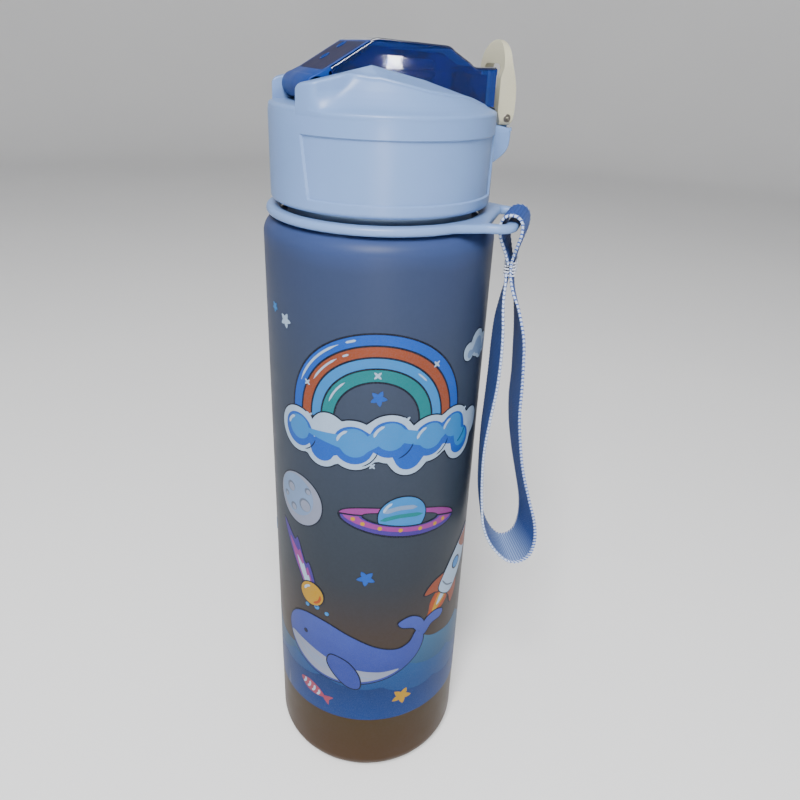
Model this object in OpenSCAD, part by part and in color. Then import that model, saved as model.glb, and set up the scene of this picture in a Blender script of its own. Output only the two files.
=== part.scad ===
// Kids water bottle: threaded bottle, screw cap with a latched flip cover, carry ring and strap.
// Millimetres. +Z is up, +X runs from the axis towards the latch, and the base centre is the origin.

/* [Bottle] */
// Outer radius of the bottle body
body_r = 35; // [34:0.5:36]
// Height of the flat shoulder that the carry ring rests on
shoulder_z = 208.4; // [190:0.2:220]
// Thickness of the bottle wall
wall = 1.8; // [1.4:0.1:2.2]
// Radius of the rounded corner at the base
base_corner = 7.2; // [5:0.2:8]

/* [Neck and thread] */
// Outer radius of the neck under its thread
neck_r = 27.6; // [27.4:0.1:27.7]
// Axial distance between two turns of the thread
thread_pitch = 4; // [3.8:0.1:4.4]
// Turns of thread on the neck and in the cap
thread_turns = 1.75; // [1.25:0.25:1.75]

/* [Cap] */
// Outer radius of the cap skirt
cap_r = 32.4; // [32.2:0.1:32.8]
// Half of the gap between the two cheeks that flank the cover
cheek_gap = 14.9; // [14.7:0.1:15.2]
// Depth of the grip panels in the skirt
panel_depth = 0.5; // [0.3:0.1:0.7]

/* [Cover and latch] */
// Half of the width of the clear cover
cover_w = 14.3; // [14:0.1:14.4]
// Thickness of the cover walls
cover_wall = 1.8; // [1.4:0.1:2]
// Half of the width of the latch
latch_w = 7.8; // [7.4:0.1:8]

/* [Carry ring and strap] */
// Direction of the strap tab round the axis, from the latch
tab_az = -36; // [-60:1:60]
// Distance from the axis to the outer edge of the strap tab
tab_reach = 43; // [42:0.5:44]
// Thickness of the carry ring and its tab
ring_t = 2.5; // [2.2:0.1:2.6]
// Thickness of the strap webbing
strap_t = 0.9; // [0.7:0.1:1]

/* [Hidden] */

$fn = 96;
eps = 0.01;
big = 100;

// Heights, all from the base
neck_z = shoulder_z + 23.6;         // top of the neck
ring_z = shoulder_z + 0.3;          // underside of the carry ring
skirt_z = shoulder_z + 4.5;         // lower edge of the cap
deck_low = neck_z + 1.6;            // underside of the cap deck
deck_top = deck_low + 2.8;          // top of the cap deck
crease_z = shoulder_z + 29.8;       // where the skirt turns in to the scooped cheeks
shelf_z = shoulder_z + 30.6;        // ledge behind the hinge
rim_z = shoulder_z + 31.7;          // front rim under the cover
peak_z = shoulder_z + 40.6;         // ridge of the cheeks

// Hinge of the cover and pin of the latch, as [x, z]
hinge = [-22.5, shoulder_z + 34.6];
hinge_r = 3.5;
hinge_pin_r = 1.25;
pivot = [35.9, shoulder_z + 27.7];
latch_pin_r = 1.2;
running = 0.05;                     // radial clearance of a turning pin

bore_r = neck_r - 2;                // inside of the neck
thread_z = shoulder_z + 9.6;        // start of the thread on the neck
male_crest = neck_r + 1.6;
skirt_in = cap_r - 2.4;
female_crest = neck_r + 0.5;
spout_x = 8.5;
vent_x = -7;

function arc(c, r, a0, a1, n) = [for (i = [0:n]) c + r * [cos(a0 + (a1 - a0) * i / n), sin(a0 + (a1 - a0) * i / n)]];

// Extrudes an XZ outline along Y, centred, to a half width w
module along_y(w) {
    translate([0, w, 0])
        rotate([90, 0, 0])
            linear_extrude(2 * w)
                children();
}

// Cylinder along Y between two values of y
module rod_y(at, r, y0, y1) {
    translate([at[0], y1, at[1]])
        rotate([90, 0, 0])
            cylinder(r = r, h = y1 - y0);
}

// Both sides of the XZ plane
module both_sides() {
    children();
    mirror([0, 1, 0])
        children();
}

// Helical ridge: root and crest radii, axial widths at each, first height and phase
thread_steps = 36;
function ridge_fade(i, n) = min(1, i / 4, (n - i) / 4);
function ridge_ring(a, z, root, crest, root_w, crest_w, f) = let (tip = root + (crest - root) * max(f, 0.15)) [
    [root * cos(a), root * sin(a), z - root_w / 2],
    [tip * cos(a), tip * sin(a), z - crest_w / 2],
    [tip * cos(a), tip * sin(a), z + crest_w / 2],
    [root * cos(a), root * sin(a), z + root_w / 2]];

module thread_ridge(root, crest, z0, flip) {
    n = round(thread_steps * thread_turns);
    points = [for (i = [0:n]) each ridge_ring(360 * i / thread_steps, z0 + thread_pitch * i / thread_steps,
                                              root, crest, 2, 1, ridge_fade(i, n))];
    sides = [for (i = [0:n - 1]) for (k = [0:3]) let (a = 4 * i + k, b = 4 * i + (k + 1) % 4)
        each [[a, b, b + 4], [a, b + 4, a + 4]]];
    ends = [[3, 2, 1], [3, 1, 0], [4 * n, 4 * n + 1, 4 * n + 2], [4 * n, 4 * n + 2, 4 * n + 3]];
    faces = concat(sides, ends);
    polyhedron(points, flip ? [for (f = faces) [f[2], f[1], f[0]]] : faces, convexity = 8);
}

// ---------------------------------------------------------------- bottle

module bottle_shell() {
    inner_r = body_r - wall;
    shoulder_r = 5.5;
    lip = 0.6;
    outer = concat(
        [[0, 0]],
        arc([body_r - base_corner, base_corner], base_corner, -90, 0, 10),
        arc([body_r - shoulder_r, shoulder_z - shoulder_r], shoulder_r, 0, 90, 8),
        [[neck_r, shoulder_z]],
        arc([neck_r - lip, neck_z - lip], lip, 0, 90, 3),
        [[bore_r, neck_z]]);
    inner = concat(
        arc([bore_r + 2, shoulder_z - 2], 2, 180, 230, 3),
        arc([inner_r - 4.5, shoulder_z - wall - 6], 4.5, 60, 0, 5),
        arc([inner_r - 5.4, 2.4 + 5.4], 5.4, 0, -90, 8),
        [[0, 2.4]]);
    color("#6f7f9b") {
        rotate_extrude()
            polygon(concat(outer, inner));
        thread_ridge(neck_r - 0.4, male_crest, thread_z, false);
    }
}

// ---------------------------------------------------------------- carry ring

// Outline of the tab: concave fillets run off the ring, two round corners at the outer edge
tab_half = 15.5;
tab_corner = 6.5;
tab_fillet = 9;
slot_in = 35;
slot_out = tab_reach - 3.6;
slot_half = 12;

module tab_outline() {
    root = 33;
    polygon(concat(
        [[24, -tab_half - 4], [root - 4.5, -tab_half - 4.2]],
        arc([root + 3, -tab_half - tab_fillet], tab_fillet, 138, 90, 6),
        arc([tab_reach - tab_corner, -tab_half + tab_corner], tab_corner, -90, 0, 8),
        arc([tab_reach - tab_corner, tab_half - tab_corner], tab_corner, 0, 90, 8),
        arc([root + 3, tab_half + tab_fillet], tab_fillet, 270, 222, 6),
        [[root - 4.5, tab_half + 4.2], [24, tab_half + 4]]));
}

module slot_outline() {
    corner = 1.2;
    polygon(concat(
        arc([slot_in + corner, -slot_half + corner], corner, 180, 270, 4),
        arc([slot_out - corner, -slot_half + corner], corner, 270, 360, 4),
        arc([slot_out - corner, slot_half - corner], corner, 0, 90, 4),
        arc([slot_in + corner, slot_half - corner], corner, 90, 180, 4)));
}

module carry_ring() {
    ring_in = 29.9;
    ring_out = 33.9;
    edge = 0.6;
    color("#93a6c9")
        translate([0, 0, ring_z])
            difference() {
                union() {
                    rotate_extrude()
                        polygon(concat(
                            [[ring_in, 0]],
                            arc([ring_out - edge, edge], edge, -90, 0, 4),
                            arc([ring_out - edge, ring_t - edge], edge, 0, 90, 4),
                            [[ring_in, ring_t]]));
                    rotate([0, 0, tab_az])
                        linear_extrude(ring_t)
                            tab_outline();
                }
                translate([0, 0, -1])
                    cylinder(r = ring_in, h = ring_t + 2);
                translate([0, 0, -1])
                    rotate([0, 0, tab_az])
                        linear_extrude(ring_t + 2)
                            slot_outline();
            }
}

// ---------------------------------------------------------------- strap

// Route of the webbing's middle, as [distance from the axis, height, width], in the tab's own plane
strap_shift = -2.5;                 // middle of the webbing, across the tab
strap_route = [
    [41.0, 198.6, 9], [40.2, 201.5, 11], [39.1, 205, 15], [38.2, 208, 17], [38.2, 211, 17],
    [39.4, 212.8, 17], [41.2, 213.3, 17], [43, 212.8, 17], [44.2, 211, 17], [44.2, 208, 17],
    [43.4, 205, 15], [42.4, 201.5, 11], [41.9, 198.5, 9], [41.8, 195.5, 9], [42.4, 191, 11],
    [43.4, 186, 14], [45, 178, 16.5], [46.3, 170, 17], [47.6, 161, 17], [48.8, 152, 17],
    [50.2, 143, 17], [52.4, 133, 17], [55.2, 123, 17], [57.4, 114, 17], [58, 106, 17],
    [56.6, 99.5, 17], [53.6, 95.4, 17], [49.8, 94.4, 17], [46, 96.4, 17], [42.8, 101, 17],
    [40.6, 108, 17], [39.4, 117, 17], [38.9, 127, 17], [38.8, 138, 17], [38.8, 149, 17],
    [38.9, 160, 17], [39.1, 170, 17], [39.4, 179, 16], [39.9, 187, 13], [40.4, 192.5, 10.5],
    [40.7, 196, 9]];

function unit(v) = v / norm(v);
function route_dir(i) = unit(
    [for (k = [0, 1]) strap_route[min(i + 1, len(strap_route) - 1)][k] - strap_route[max(i - 1, 0)][k]]);
function strap_ring(i) = let (p = strap_route[i], d = route_dir(i), n = [d[1], -d[0]], t = strap_t / 2,
                              w = p[2] / 2, c = strap_t / 4)
    [for (q = [[-w, -t + c], [-w + c, -t], [w - c, -t], [w, -t + c], [w, t - c], [w - c, t], [-w + c, t], [-w, t - c]])
        [p[0] + n[0] * q[1], strap_shift + q[0], p[1] + n[1] * q[1]]];

module carry_strap() {
    n = len(strap_route);
    points = [for (i = [0:n - 1]) each strap_ring(i)];
    sides = [for (i = [0:n - 2]) for (k = [0:7]) let (a = 8 * i + k, b = 8 * i + (k + 1) % 8)
        each [[a, b + 8, b], [a, a + 8, b + 8]]];
    ends = [[for (k = [0:7]) k], [for (k = [7:-1:0]) 8 * (n - 1) + k]];
    color("#5570ae")
        rotate([0, 0, tab_az])
            polyhedron(points, concat(sides, ends), convexity = 10);
}

// Bar-tack that closes the webbing's eye under the tab
module strap_stitch() {
    low = 195;
    high = 199.5;
    color("white")
        rotate([0, 0, tab_az])
            translate([39.9, strap_shift - 3, low])
                cube([2.9, 6, high - low]);
}

// ---------------------------------------------------------------- cap

// Side outline of the cheeks, as seen along Y: ear at the hinge, ridge, then the long fall to the rim
module gable() {
    ridge_r = 6;
    polygon(concat(
        [[-40, deck_low], [-40, peak_z - 7.8], [-29, peak_z - 5.1]],
        arc([-8.6, peak_z - ridge_r], ridge_r, 106, 74, 6),
        [[25, rim_z], [40, rim_z], [40, deck_low]]));
}

// Round outline of the cap above the crease, which scoops in towards the ridge
module scooped_round() {
    rotate_extrude()
        polygon(concat(
            [[0, deck_low], [cap_r, deck_low], [cap_r, crease_z - 0.4]],
            arc([cap_r - 0.9, crease_z - 0.4], 0.9, 0, 75, 4),
            [[30.2, crease_z + 1], [28.9, crease_z + 1.9], [27.5, crease_z + 3.3], [26.1, crease_z + 5],
             [24.7, crease_z + 7], [23.2, crease_z + 9.1], [21.6, crease_z + 11], [20.4, crease_z + 12.5],
             [0, crease_z + 12.5]]));
}

module cap_crown() {
    ear_half = 20;
    intersection() {
        along_y(big / 2)
            gable();
        union() {
            scooped_round();
            intersection() {
                translate([0, 0, deck_low])
                    cylinder(r = cap_r, h = 20);
                translate([-40, -ear_half, deck_low])
                    cube([34, 2 * ear_half, 20]);
            }
        }
    }
}

module cap_skirt() {
    edge = 1.3;
    rotate_extrude()
        polygon(concat(
            [[skirt_in, skirt_z]],
            arc([cap_r - edge, skirt_z + edge], edge, -90, 0, 5),
            [[cap_r, deck_low + eps], [0, deck_low + eps], [0, deck_low], [skirt_in, deck_low]]));
}

// Space between the cheeks: the tray round the spout, the hinge shelf and the front rim
module cover_space() {
    tray_r = 29.4;
    intersection() {
        translate([-18, -cheek_gap, deck_top])
            cube([big, 2 * cheek_gap, big]);
        translate([0, 0, deck_top])
            cylinder(r = tray_r, h = big);
    }
    translate([-big, -cheek_gap, shelf_z])
        cube([big, 2 * cheek_gap, big]);
    translate([20, -cheek_gap, rim_z])
        cube([big, 2 * cheek_gap, big]);
}

// One grip panel: a shallow recess with slanting ends, centred on -Y
panel_low = shoulder_z + 8;
panel_high = shoulder_z + 24;
module grip_panel() {
    half_low = 55.5;
    half_high = 59.5;
    difference() {
        intersection() {
            translate([0, 0, panel_low])
                cylinder(r = cap_r + 5, h = panel_high - panel_low);
            translate([0, 0, -eps])
                rotate([90, 0, 0])
                    linear_extrude(big)
                        polygon([[-(cap_r + 1) * sin(half_low), panel_low - 1],
                                 [(cap_r + 1) * sin(half_low), panel_low - 1],
                                 [(cap_r + 1) * sin(half_high), panel_high + 1],
                                 [-(cap_r + 1) * sin(half_high), panel_high + 1]]);
        }
        translate([0, 0, panel_low - 1])
            cylinder(r = cap_r - panel_depth, h = panel_high - panel_low + 2);
    }
}

// Lug that carries the latch: a wide foot, and a narrow eye that the latch straddles
lug_w = 5.2;
foot_w = 7.2;
foot_top = pivot[1] - 2.8;
module latch_lug() {
    along_y(foot_w)
        polygon([[29, foot_top], [29, shoulder_z + 14], [31.4, shoulder_z + 14], [33.4, shoulder_z + 15.3],
                 [36.4, shoulder_z + 17.4], [37.7, shoulder_z + 19.2], [38.1, shoulder_z + 21], [38.1, foot_top]]);
    along_y(lug_w)
        union() {
            polygon([[29, foot_top - 1], [37.6, foot_top - 1], [38, pivot[1]], [33.8, pivot[1]],
                     [31.5, pivot[1] + 0.5], [29, pivot[1] + 0.5]]);
            translate(pivot)
                circle(r = 2.1);
        }
}

module cap_shell() {
    color("#9bb0cc")
        difference() {
            union() {
                difference() {
                    union() {
                        cap_skirt();
                        cap_crown();
                        latch_lug();
                    }
                    translate([0, 0, skirt_z - 1])
                        cylinder(r = skirt_in, h = deck_low - skirt_z + 1);
                    cover_space();
                    both_sides()
                        grip_panel();
                }
                thread_ridge(skirt_in + 0.4, female_crest, thread_z - thread_pitch / 2, true);
            }
            rod_y(hinge, hinge_pin_r, -18, cap_r);
            rod_y(pivot, latch_pin_r + running, -lug_w - 1, lug_w + 1);
            translate([spout_x, 0, 0])
                cylinder(r = spout_stub + 0.1, h = big * 3);
            translate([vent_x, 0, 0])
                cylinder(r = vent_stem + 0.05, h = big * 3);
        }
}

module cap_gasket() {
    gap = 0.1;
    color("#e8ebee")
        translate([0, 0, neck_z + gap])
            difference() {
                cylinder(r = 29.3, h = deck_low - neck_z - 2 * gap);
                translate([0, 0, -1])
                    cylinder(r = bore_r, h = 4);
            }
}

// ---------------------------------------------------------------- spout and vent

spout_stub = 6.5;                   // radius of the tube that passes through the deck
spout_bore = 4.2;
spout_top = shoulder_z + 39.6;
module spout() {
    flange = 8.8;
    seat = 0.05;
    color("#9bb0cc")
        translate([spout_x, 0, 0])
            difference() {
                rotate_extrude()
                    polygon(concat(
                        [[spout_bore, deck_low - 0.6], [spout_stub, deck_low - 0.6], [spout_stub, deck_top + seat],
                         [flange, deck_top + seat], [flange, deck_top + 1.3], [6.7, deck_top + 1.9],
                         [5.8, spout_top - 2.6]],
                        arc([6.1, spout_top - 1.3], 0.9, -90, 90, 6),
                        [[spout_bore + 0.4, spout_top], [spout_bore, spout_top - 0.4]]));
                translate([0, 0, deck_top])
                    rotate_extrude()
                        translate([7.7, 0])
                            circle(r = 0.75, $fn = 32);
            }
}

module spout_seal() {
    color("#e8ebee")
        translate([spout_x, 0, deck_top + 0.02])
            rotate_extrude()
                translate([7.7, 0])
                    intersection() {
                        circle(r = 0.7, $fn = 32);
                        translate([-2, 0])
                            square([4, 2]);
                    }
}

vent_stem = 1.9;
module vent_valve() {
    color("#e8ebee")
        translate([vent_x, 0, 0])
            rotate_extrude()
                polygon(concat(
                    [[0.5, deck_low - 1.5], [2.4, deck_low - 1.2], [2.9, deck_low - 0.05], [vent_stem, deck_low - 0.05],
                     [vent_stem, deck_top + 0.05], [3.2, deck_top + 0.05]],
                    arc([2.4, deck_top + 0.3], 0.8, 0, 90, 4),
                    [[0.5, deck_top + 1.1]]));
}

// ---------------------------------------------------------------- cover

cover_bottom = rim_z + 0.3;
module cover_outline() {
    polygon(concat(
        [[-18, cover_bottom], [-24, hinge[1] + 2.5]],
        arc([-6.3, shoulder_z + 43], 4, 120, 92, 5),
        arc([12.4, shoulder_z + 42], 4, 86, 45, 5),
        arc([22.4, shoulder_z + 43.8], 2.8, 222, 270, 4),
        [[30.6, shoulder_z + 41], [32, shoulder_z + 40.4], [32, cover_bottom]]));
}

module cover_hollow() {
    polygon(concat(
        [[-17.6, cover_bottom - 1], [-17.6, hinge[1] + 4]],
        arc([-6.3, shoulder_z + 43], 4 - cover_wall, 120, 92, 4),
        arc([12.4, shoulder_z + 42], 4 - cover_wall, 86, 45, 4),
        arc([22.4, shoulder_z + 43.8], 2.8 + cover_wall, 222, 270, 4),
        [[32, shoulder_z + 41 - cover_wall], [32, cover_bottom - 1]]));
}

module flip_cover() {
    front_r = 31.3;
    tongue_w = 4.7;
    plug_seat_r = 5;
    color("#2b4f93", 0.6)
        difference() {
            union() {
                difference() {
                    intersection() {
                        along_y(cover_w)
                            cover_outline();
                        translate([0, 0, cover_bottom - 2])
                            cylinder(r = front_r, h = big);
                    }
                    intersection() {
                        along_y(cover_w - cover_wall)
                            cover_hollow();
                        translate([0, 0, cover_bottom - 2])
                            cylinder(r = front_r - cover_wall, h = big);
                    }
                }
                rod_y(hinge, hinge_r, -cover_w, cover_w);
                translate([spout_x, 0, spout_top + 2.6])
                    cylinder(r = plug_seat_r, h = shoulder_z + 45 - spout_top - 2.6);
                translate([front_r - 1.5, -tongue_w, shoulder_z + 38.2])
                    cube([3.3, 2 * tongue_w, 2.8]);
            }
            rod_y(hinge, hinge_pin_r + running, -cover_w - 1, cover_w + 1);
            translate([spout_x, 0, spout_top + 2])
                cylinder(r = plug_stem, h = 3);
        }
}

plug_stem = 2;
module spout_plug() {
    color("#e8ebee")
        translate([spout_x, 0, 0])
            rotate_extrude()
                polygon(concat(
                    [[0, spout_top - 1.6], [2.8, spout_top - 1.6], [3.5, spout_top - 0.9], [3.5, spout_top + 0.3],
                     [5.7, spout_top + 0.3]],
                    arc([5.7, spout_top + 1.4], 1.1, -90, 90, 5),
                    [[plug_stem, spout_top + 2.5], [plug_stem, spout_top + 5], [0, spout_top + 5]]));
}

module hinge_pin() {
    color("silver")
        rod_y(hinge, hinge_pin_r, -17.9, 19.6);
}

// ---------------------------------------------------------------- latch

module latch_side() {
    top = shoulder_z + 48.1;
    polygon(concat(
        arc(pivot, 2.1, -60, -180, 6),
        [[32.7, pivot[1] + 1.6], [32.7, shoulder_z + 38.5], [33.6, shoulder_z + 40.6], [33.9, shoulder_z + 45]],
        arc([35.1, top - 1], 1, 165, 15, 5),
        [[36.2, shoulder_z + 45], [36, shoulder_z + 42.8], [36.4, shoulder_z + 41], [37.2, shoulder_z + 38.8],
         [37.9, shoulder_z + 36], [38.1, shoulder_z + 33], [38, shoulder_z + 30]]));
}

module latch_front() {
    arch_z = shoulder_z + 40.4;
    difference() {
        polygon(concat(
            [[-latch_w, pivot[1] - 3], [latch_w, pivot[1] - 3]],
            arc([0, arch_z], latch_w, 0, 180, 20)));
        translate([-lug_w - 0.3, pivot[1] - 4])
            square([2 * lug_w + 0.6, 6.6]);
        polygon(concat(
            arc([-4.2, shoulder_z + 35.6], 1, 180, 270, 3),
            arc([4.2, shoulder_z + 35.6], 1, 270, 360, 3),
            arc([3.2, shoulder_z + 40], 2, 0, 90, 4),
            arc([-3.2, shoulder_z + 40], 2, 90, 180, 4)));
    }
}

module latch() {
    color("#dcdcd2")
        difference() {
            intersection() {
                along_y(latch_w)
                    latch_side();
                translate([30, 0, 0])
                    rotate([90, 0, 90])
                        linear_extrude(12)
                            latch_front();
            }
            rod_y(pivot, latch_pin_r, -latch_w - 1, latch_w + 1);
        }
}

module latch_pin() {
    color("#8c867c")
        rod_y(pivot, latch_pin_r, -latch_w + 0.1, latch_w - 0.1);
}

bottle_shell();
carry_ring();
carry_strap();
strap_stitch();
cap_shell();
cap_gasket();
spout();
spout_seal();
vent_valve();
hinge_pin();
flip_cover();
spout_plug();
latch();
latch_pin();
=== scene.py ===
"""Looks of the kids water bottle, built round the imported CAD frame.

Objects are in metres. The shape functions work in millimetres and are scaled once, in build().
+Z is up, and +X runs from the bottle's axis towards the latch.
"""
import math

import bmesh
import bpy
import numpy as np
from mathutils import Matrix, Vector
from mathutils.geometry import tessellate_polygon


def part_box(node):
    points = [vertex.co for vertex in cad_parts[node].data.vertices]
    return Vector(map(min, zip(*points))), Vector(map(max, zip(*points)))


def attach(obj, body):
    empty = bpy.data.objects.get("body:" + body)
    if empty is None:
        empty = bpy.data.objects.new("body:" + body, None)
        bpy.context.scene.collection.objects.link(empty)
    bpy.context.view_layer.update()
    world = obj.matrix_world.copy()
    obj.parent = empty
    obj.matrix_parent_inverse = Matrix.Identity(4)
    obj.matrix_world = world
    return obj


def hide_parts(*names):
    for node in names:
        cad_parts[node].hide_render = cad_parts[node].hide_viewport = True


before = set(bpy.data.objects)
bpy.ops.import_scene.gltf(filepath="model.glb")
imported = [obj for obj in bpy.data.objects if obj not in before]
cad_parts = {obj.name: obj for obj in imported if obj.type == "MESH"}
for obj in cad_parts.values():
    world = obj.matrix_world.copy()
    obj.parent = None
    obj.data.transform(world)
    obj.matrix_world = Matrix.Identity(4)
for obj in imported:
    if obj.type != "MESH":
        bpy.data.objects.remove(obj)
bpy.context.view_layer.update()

MM = 0.001


def node_size(name):
    """Lowest and highest corner of a CAD node, in millimetres."""
    low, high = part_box(name)
    return np.array(low) / MM, np.array(high) / MM


BODY_R, _, NECK_Z = node_size("bottle_shell")[1]
RING_LOW, RING_HIGH = (corner[2] for corner in node_size("carry_ring"))
SKIRT_Z, PEAK_Z = (corner[2] for corner in node_size("cap_shell"))
COVER_Z = node_size("flip_cover")[0][2]
RING_PLAY = 0.3                  # gap between the ring and the shoulder
SHOULDER_Z = RING_LOW - RING_PLAY
TAB_AZ = -36.0                   # direction of the strap's tab round the axis
LOOP_BEND_Z = 0.1005             # height where the hanging loop turns back up, in metres

# ---------------------------------------------------------------- mesh helpers


def cosd(angle):
    return math.cos(math.radians(angle))


def sind(angle):
    return math.sin(math.radians(angle))


def build(name, verts, faces, body, materials, slots=None, sharp=35.0):
    """Makes a smooth-shaded mesh object from millimetres, rides it on a body and returns it."""
    mesh = bpy.data.meshes.new(name)
    mesh.from_pydata([tuple(float(c) * MM for c in v) for v in verts], [], [tuple(f) for f in faces])
    for material in materials:
        mesh.materials.append(material)
    if slots is not None:
        mesh.polygons.foreach_set("material_index", list(slots))
    mesh.polygons.foreach_set("use_smooth", [True] * len(mesh.polygons))
    mesh.update()
    mesh.set_sharp_from_angle(angle=math.radians(sharp))
    obj = bpy.data.objects.new(name, mesh)
    bpy.context.collection.objects.link(obj)
    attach(obj, body)
    return obj


def part(name, verts, faces, body, material, slot, node=None, sharp=35.0):
    """A piece of one material, with the CAD node that it replaces; the slot argument is not used."""
    piece = build(name, verts, faces, body, [material], sharp=sharp)
    if node:
        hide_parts(node)
    return piece


def arc(centre, radius, start, end, steps):
    """Points of an arc in a plane, angles in degrees."""
    return [(centre[0] + radius * cosd(start + (end - start) * i / steps),
             centre[1] + radius * sind(start + (end - start) * i / steps))
            for i in range(steps + 1)]


def resample(points, step):
    """The same closed outline with no gap between points longer than step."""
    out = []
    count = len(points)
    for i in range(count):
        a, b = np.array(points[i], float), np.array(points[(i + 1) % count], float)
        parts = max(1, int(math.ceil(np.linalg.norm(b - a) / step)))
        out.extend(tuple(a + (b - a) * k / parts) for k in range(parts))
    return out


def between(a, b, c, d, t):
    """Point of a Catmull-Rom curve, from b at t = 0 to c at t = 1."""
    return 0.5 * (2 * b + (c - a) * t + (2 * a - 5 * b + 4 * c - d) * t ** 2
                  + (3 * b - a - 3 * c + d) * t ** 3)


def loft(rings, closed_path=False):
    """Faces between closed rings of equal count, with ends unless the path is closed: (verts, faces)."""
    rings = [np.asarray(r, float) for r in rings]
    m, n = len(rings), len(rings[0])
    verts = np.concatenate(rings)
    faces = []
    for i in range(m if closed_path else m - 1):
        a, b = i * n, ((i + 1) % m) * n
        for k in range(n):
            l = (k + 1) % n
            faces.append((a + k, a + l, b + l, b + k))
    if not closed_path:
        faces.append(tuple(range(n - 1, -1, -1)))
        faces.append(tuple((m - 1) * n + k for k in range(n)))
    return verts, faces


def revolve(profile, count=192, shape=None):
    """Turns an (r, z) profile round the axis. A profile with r = 0 at both ends closes at its poles;
    another is a closed loop. shape(r, z, angle) may move a point."""
    poles = abs(profile[0][0]) < 1e-6 and abs(profile[-1][0]) < 1e-6
    ring = profile[1:-1] if poles else profile
    verts, faces = [], []
    for j in range(count):
        angle = math.radians(360.0 * j / count)
        for r, z in ring:
            r2, z2 = shape(r, z, angle) if shape else (r, z)
            verts.append((r2 * math.cos(angle), r2 * math.sin(angle), z2))
    n = len(ring)
    for j in range(count):
        a, b = j * n, ((j + 1) % count) * n
        for k in range(n - 1 if poles else n):
            l = (k + 1) % n
            faces.append((a + k, b + k, b + l, a + l))
    if poles:
        first, last = len(verts), len(verts) + 1
        verts += [(0, 0, profile[0][1]), (0, 0, profile[-1][1])]
        for j in range(count):
            a, b = j * n, ((j + 1) % count) * n
            faces.append((first, b, a))
            faces.append((a + n - 1, b + n - 1, last))
    return verts, faces


def inset(loop, distance):
    """A loop moved to its left by distance, along each point's mean normal."""
    p = np.asarray(loop, float)
    before, after = np.roll(p, 1, 0), np.roll(p, -1, 0)
    d1, d2 = p - before, after - p
    d1 /= np.maximum(np.linalg.norm(d1, axis=1, keepdims=True), 1e-9)
    d2 /= np.maximum(np.linalg.norm(d2, axis=1, keepdims=True), 1e-9)
    mean = d1 + d2
    mean /= np.maximum(np.linalg.norm(mean, axis=1, keepdims=True), 1e-9)
    normal = np.stack([-mean[:, 1], mean[:, 0]], 1)
    scale = np.clip(np.sum(mean * d1, 1), 0.5, 1)[:, None]
    return p + normal * distance / scale


def turned(loop, anticlockwise=True):
    """The loop in the wanted sense."""
    p = np.asarray(loop, float)
    area = np.sum(p[:, 0] * np.roll(p[:, 1], -1) - np.roll(p[:, 0], -1) * p[:, 1])
    return p if (area > 0) == anticlockwise else p[::-1]


def plate(outer, holes=(), low=0.0, high=1.0, edge=0.0, steps=3, cut=None):
    """A closed flat plate with round edges, in x, y and height: (verts, faces).
    cut is the spacing, along x and y, of the lines that the plate is divided on."""
    loops = [turned(outer)] + [turned(h, False) for h in holes]
    bm = bmesh.new()
    levels = [(0, low), (0, high)]
    if edge > 0:
        turns = np.linspace(0, 90, steps + 1)
        levels = ([(edge * (1 - sind(a)), low + edge * (1 - cosd(a))) for a in turns]
                  + [(edge * (1 - cosd(a)), high - edge * (1 - sind(a))) for a in turns])
    ends = {0: [], len(levels) - 1: []}
    for loop in loops:
        rows = []
        for i, (move, z) in enumerate(levels):
            ring = inset(loop, move) if move > 1e-6 else loop
            rows.append([bm.verts.new((x, y, z)) for x, y in ring])
            if i in ends:
                ends[i].append(rows[-1])
        n = len(loop)
        for a, b in zip(rows[:-1], rows[1:]):
            for k in range(n):
                bm.faces.new((a[k], a[(k + 1) % n], b[(k + 1) % n], b[k]))
    for i, rows in ends.items():
        flat = [v for row in rows for v in row]
        for tri in tessellate_polygon([[Vector((v.co.x, v.co.y, 0)) for v in row] for row in rows]):
            face = [flat[t] for t in tri]
            up = (face[1].co - face[0].co).cross(face[2].co - face[0].co).z > 0
            if up != (i > 0):
                face.reverse()
            try:
                bm.faces.new(face)
            except ValueError:
                pass
    if cut:
        for axis, spacing in enumerate(cut):
            if not spacing:
                continue
            values = [v.co[axis] for v in bm.verts]
            normal = (1, 0, 0) if axis == 0 else (0, 1, 0)
            for k in range(math.floor(min(values) / spacing) + 1, math.ceil(max(values) / spacing)):
                place = tuple(c * k * spacing for c in normal)
                bmesh.ops.bisect_plane(bm, geom=bm.verts[:] + bm.edges[:] + bm.faces[:], dist=1e-5,
                                       plane_co=place, plane_no=normal)
    bm.verts.index_update()
    verts = [tuple(v.co) for v in bm.verts]
    faces = [tuple(v.index for v in f.verts) for f in bm.faces]
    bm.free()
    return verts, faces


def joined(parts):
    """Several (verts, faces) as one."""
    verts, faces = [], []
    for v, f in parts:
        base = len(verts)
        verts.extend(v)
        faces.extend(tuple(base + k for k in face) for face in f)
    return verts, faces


# ---------------------------------------------------------------- materials


def srgb(code):
    """Linear colour from a hex code."""
    values = [int(code[i:i + 2], 16) / 255 for i in (1, 3, 5)]
    return tuple(v / 12.92 if v <= 0.04045 else ((v + 0.055) / 1.055) ** 2.4 for v in values) + (1.0,)


def add(tree, kind, inputs=None, **settings):
    """A node with its settings and inputs; an input is a value or another node's output."""
    node = tree.nodes.new(kind)
    for key, value in settings.items():
        setattr(node, key, value)
    for key, value in (inputs or {}).items():
        if isinstance(value, bpy.types.NodeSocket):
            tree.links.new(value, node.inputs[key])
        else:
            node.inputs[key].default_value = value
    return node


def mix(tree, factor, a, b):
    """Colour a with b over it."""
    return add(tree, "ShaderNodeMix", {0: factor, 6: a, 7: b}, data_type="RGBA").outputs[2]


def maths(tree, operation, a, b=0.5, clamp=False):
    return add(tree, "ShaderNodeMath", {0: a, 1: b}, operation=operation, use_clamp=clamp).outputs[0]


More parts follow.
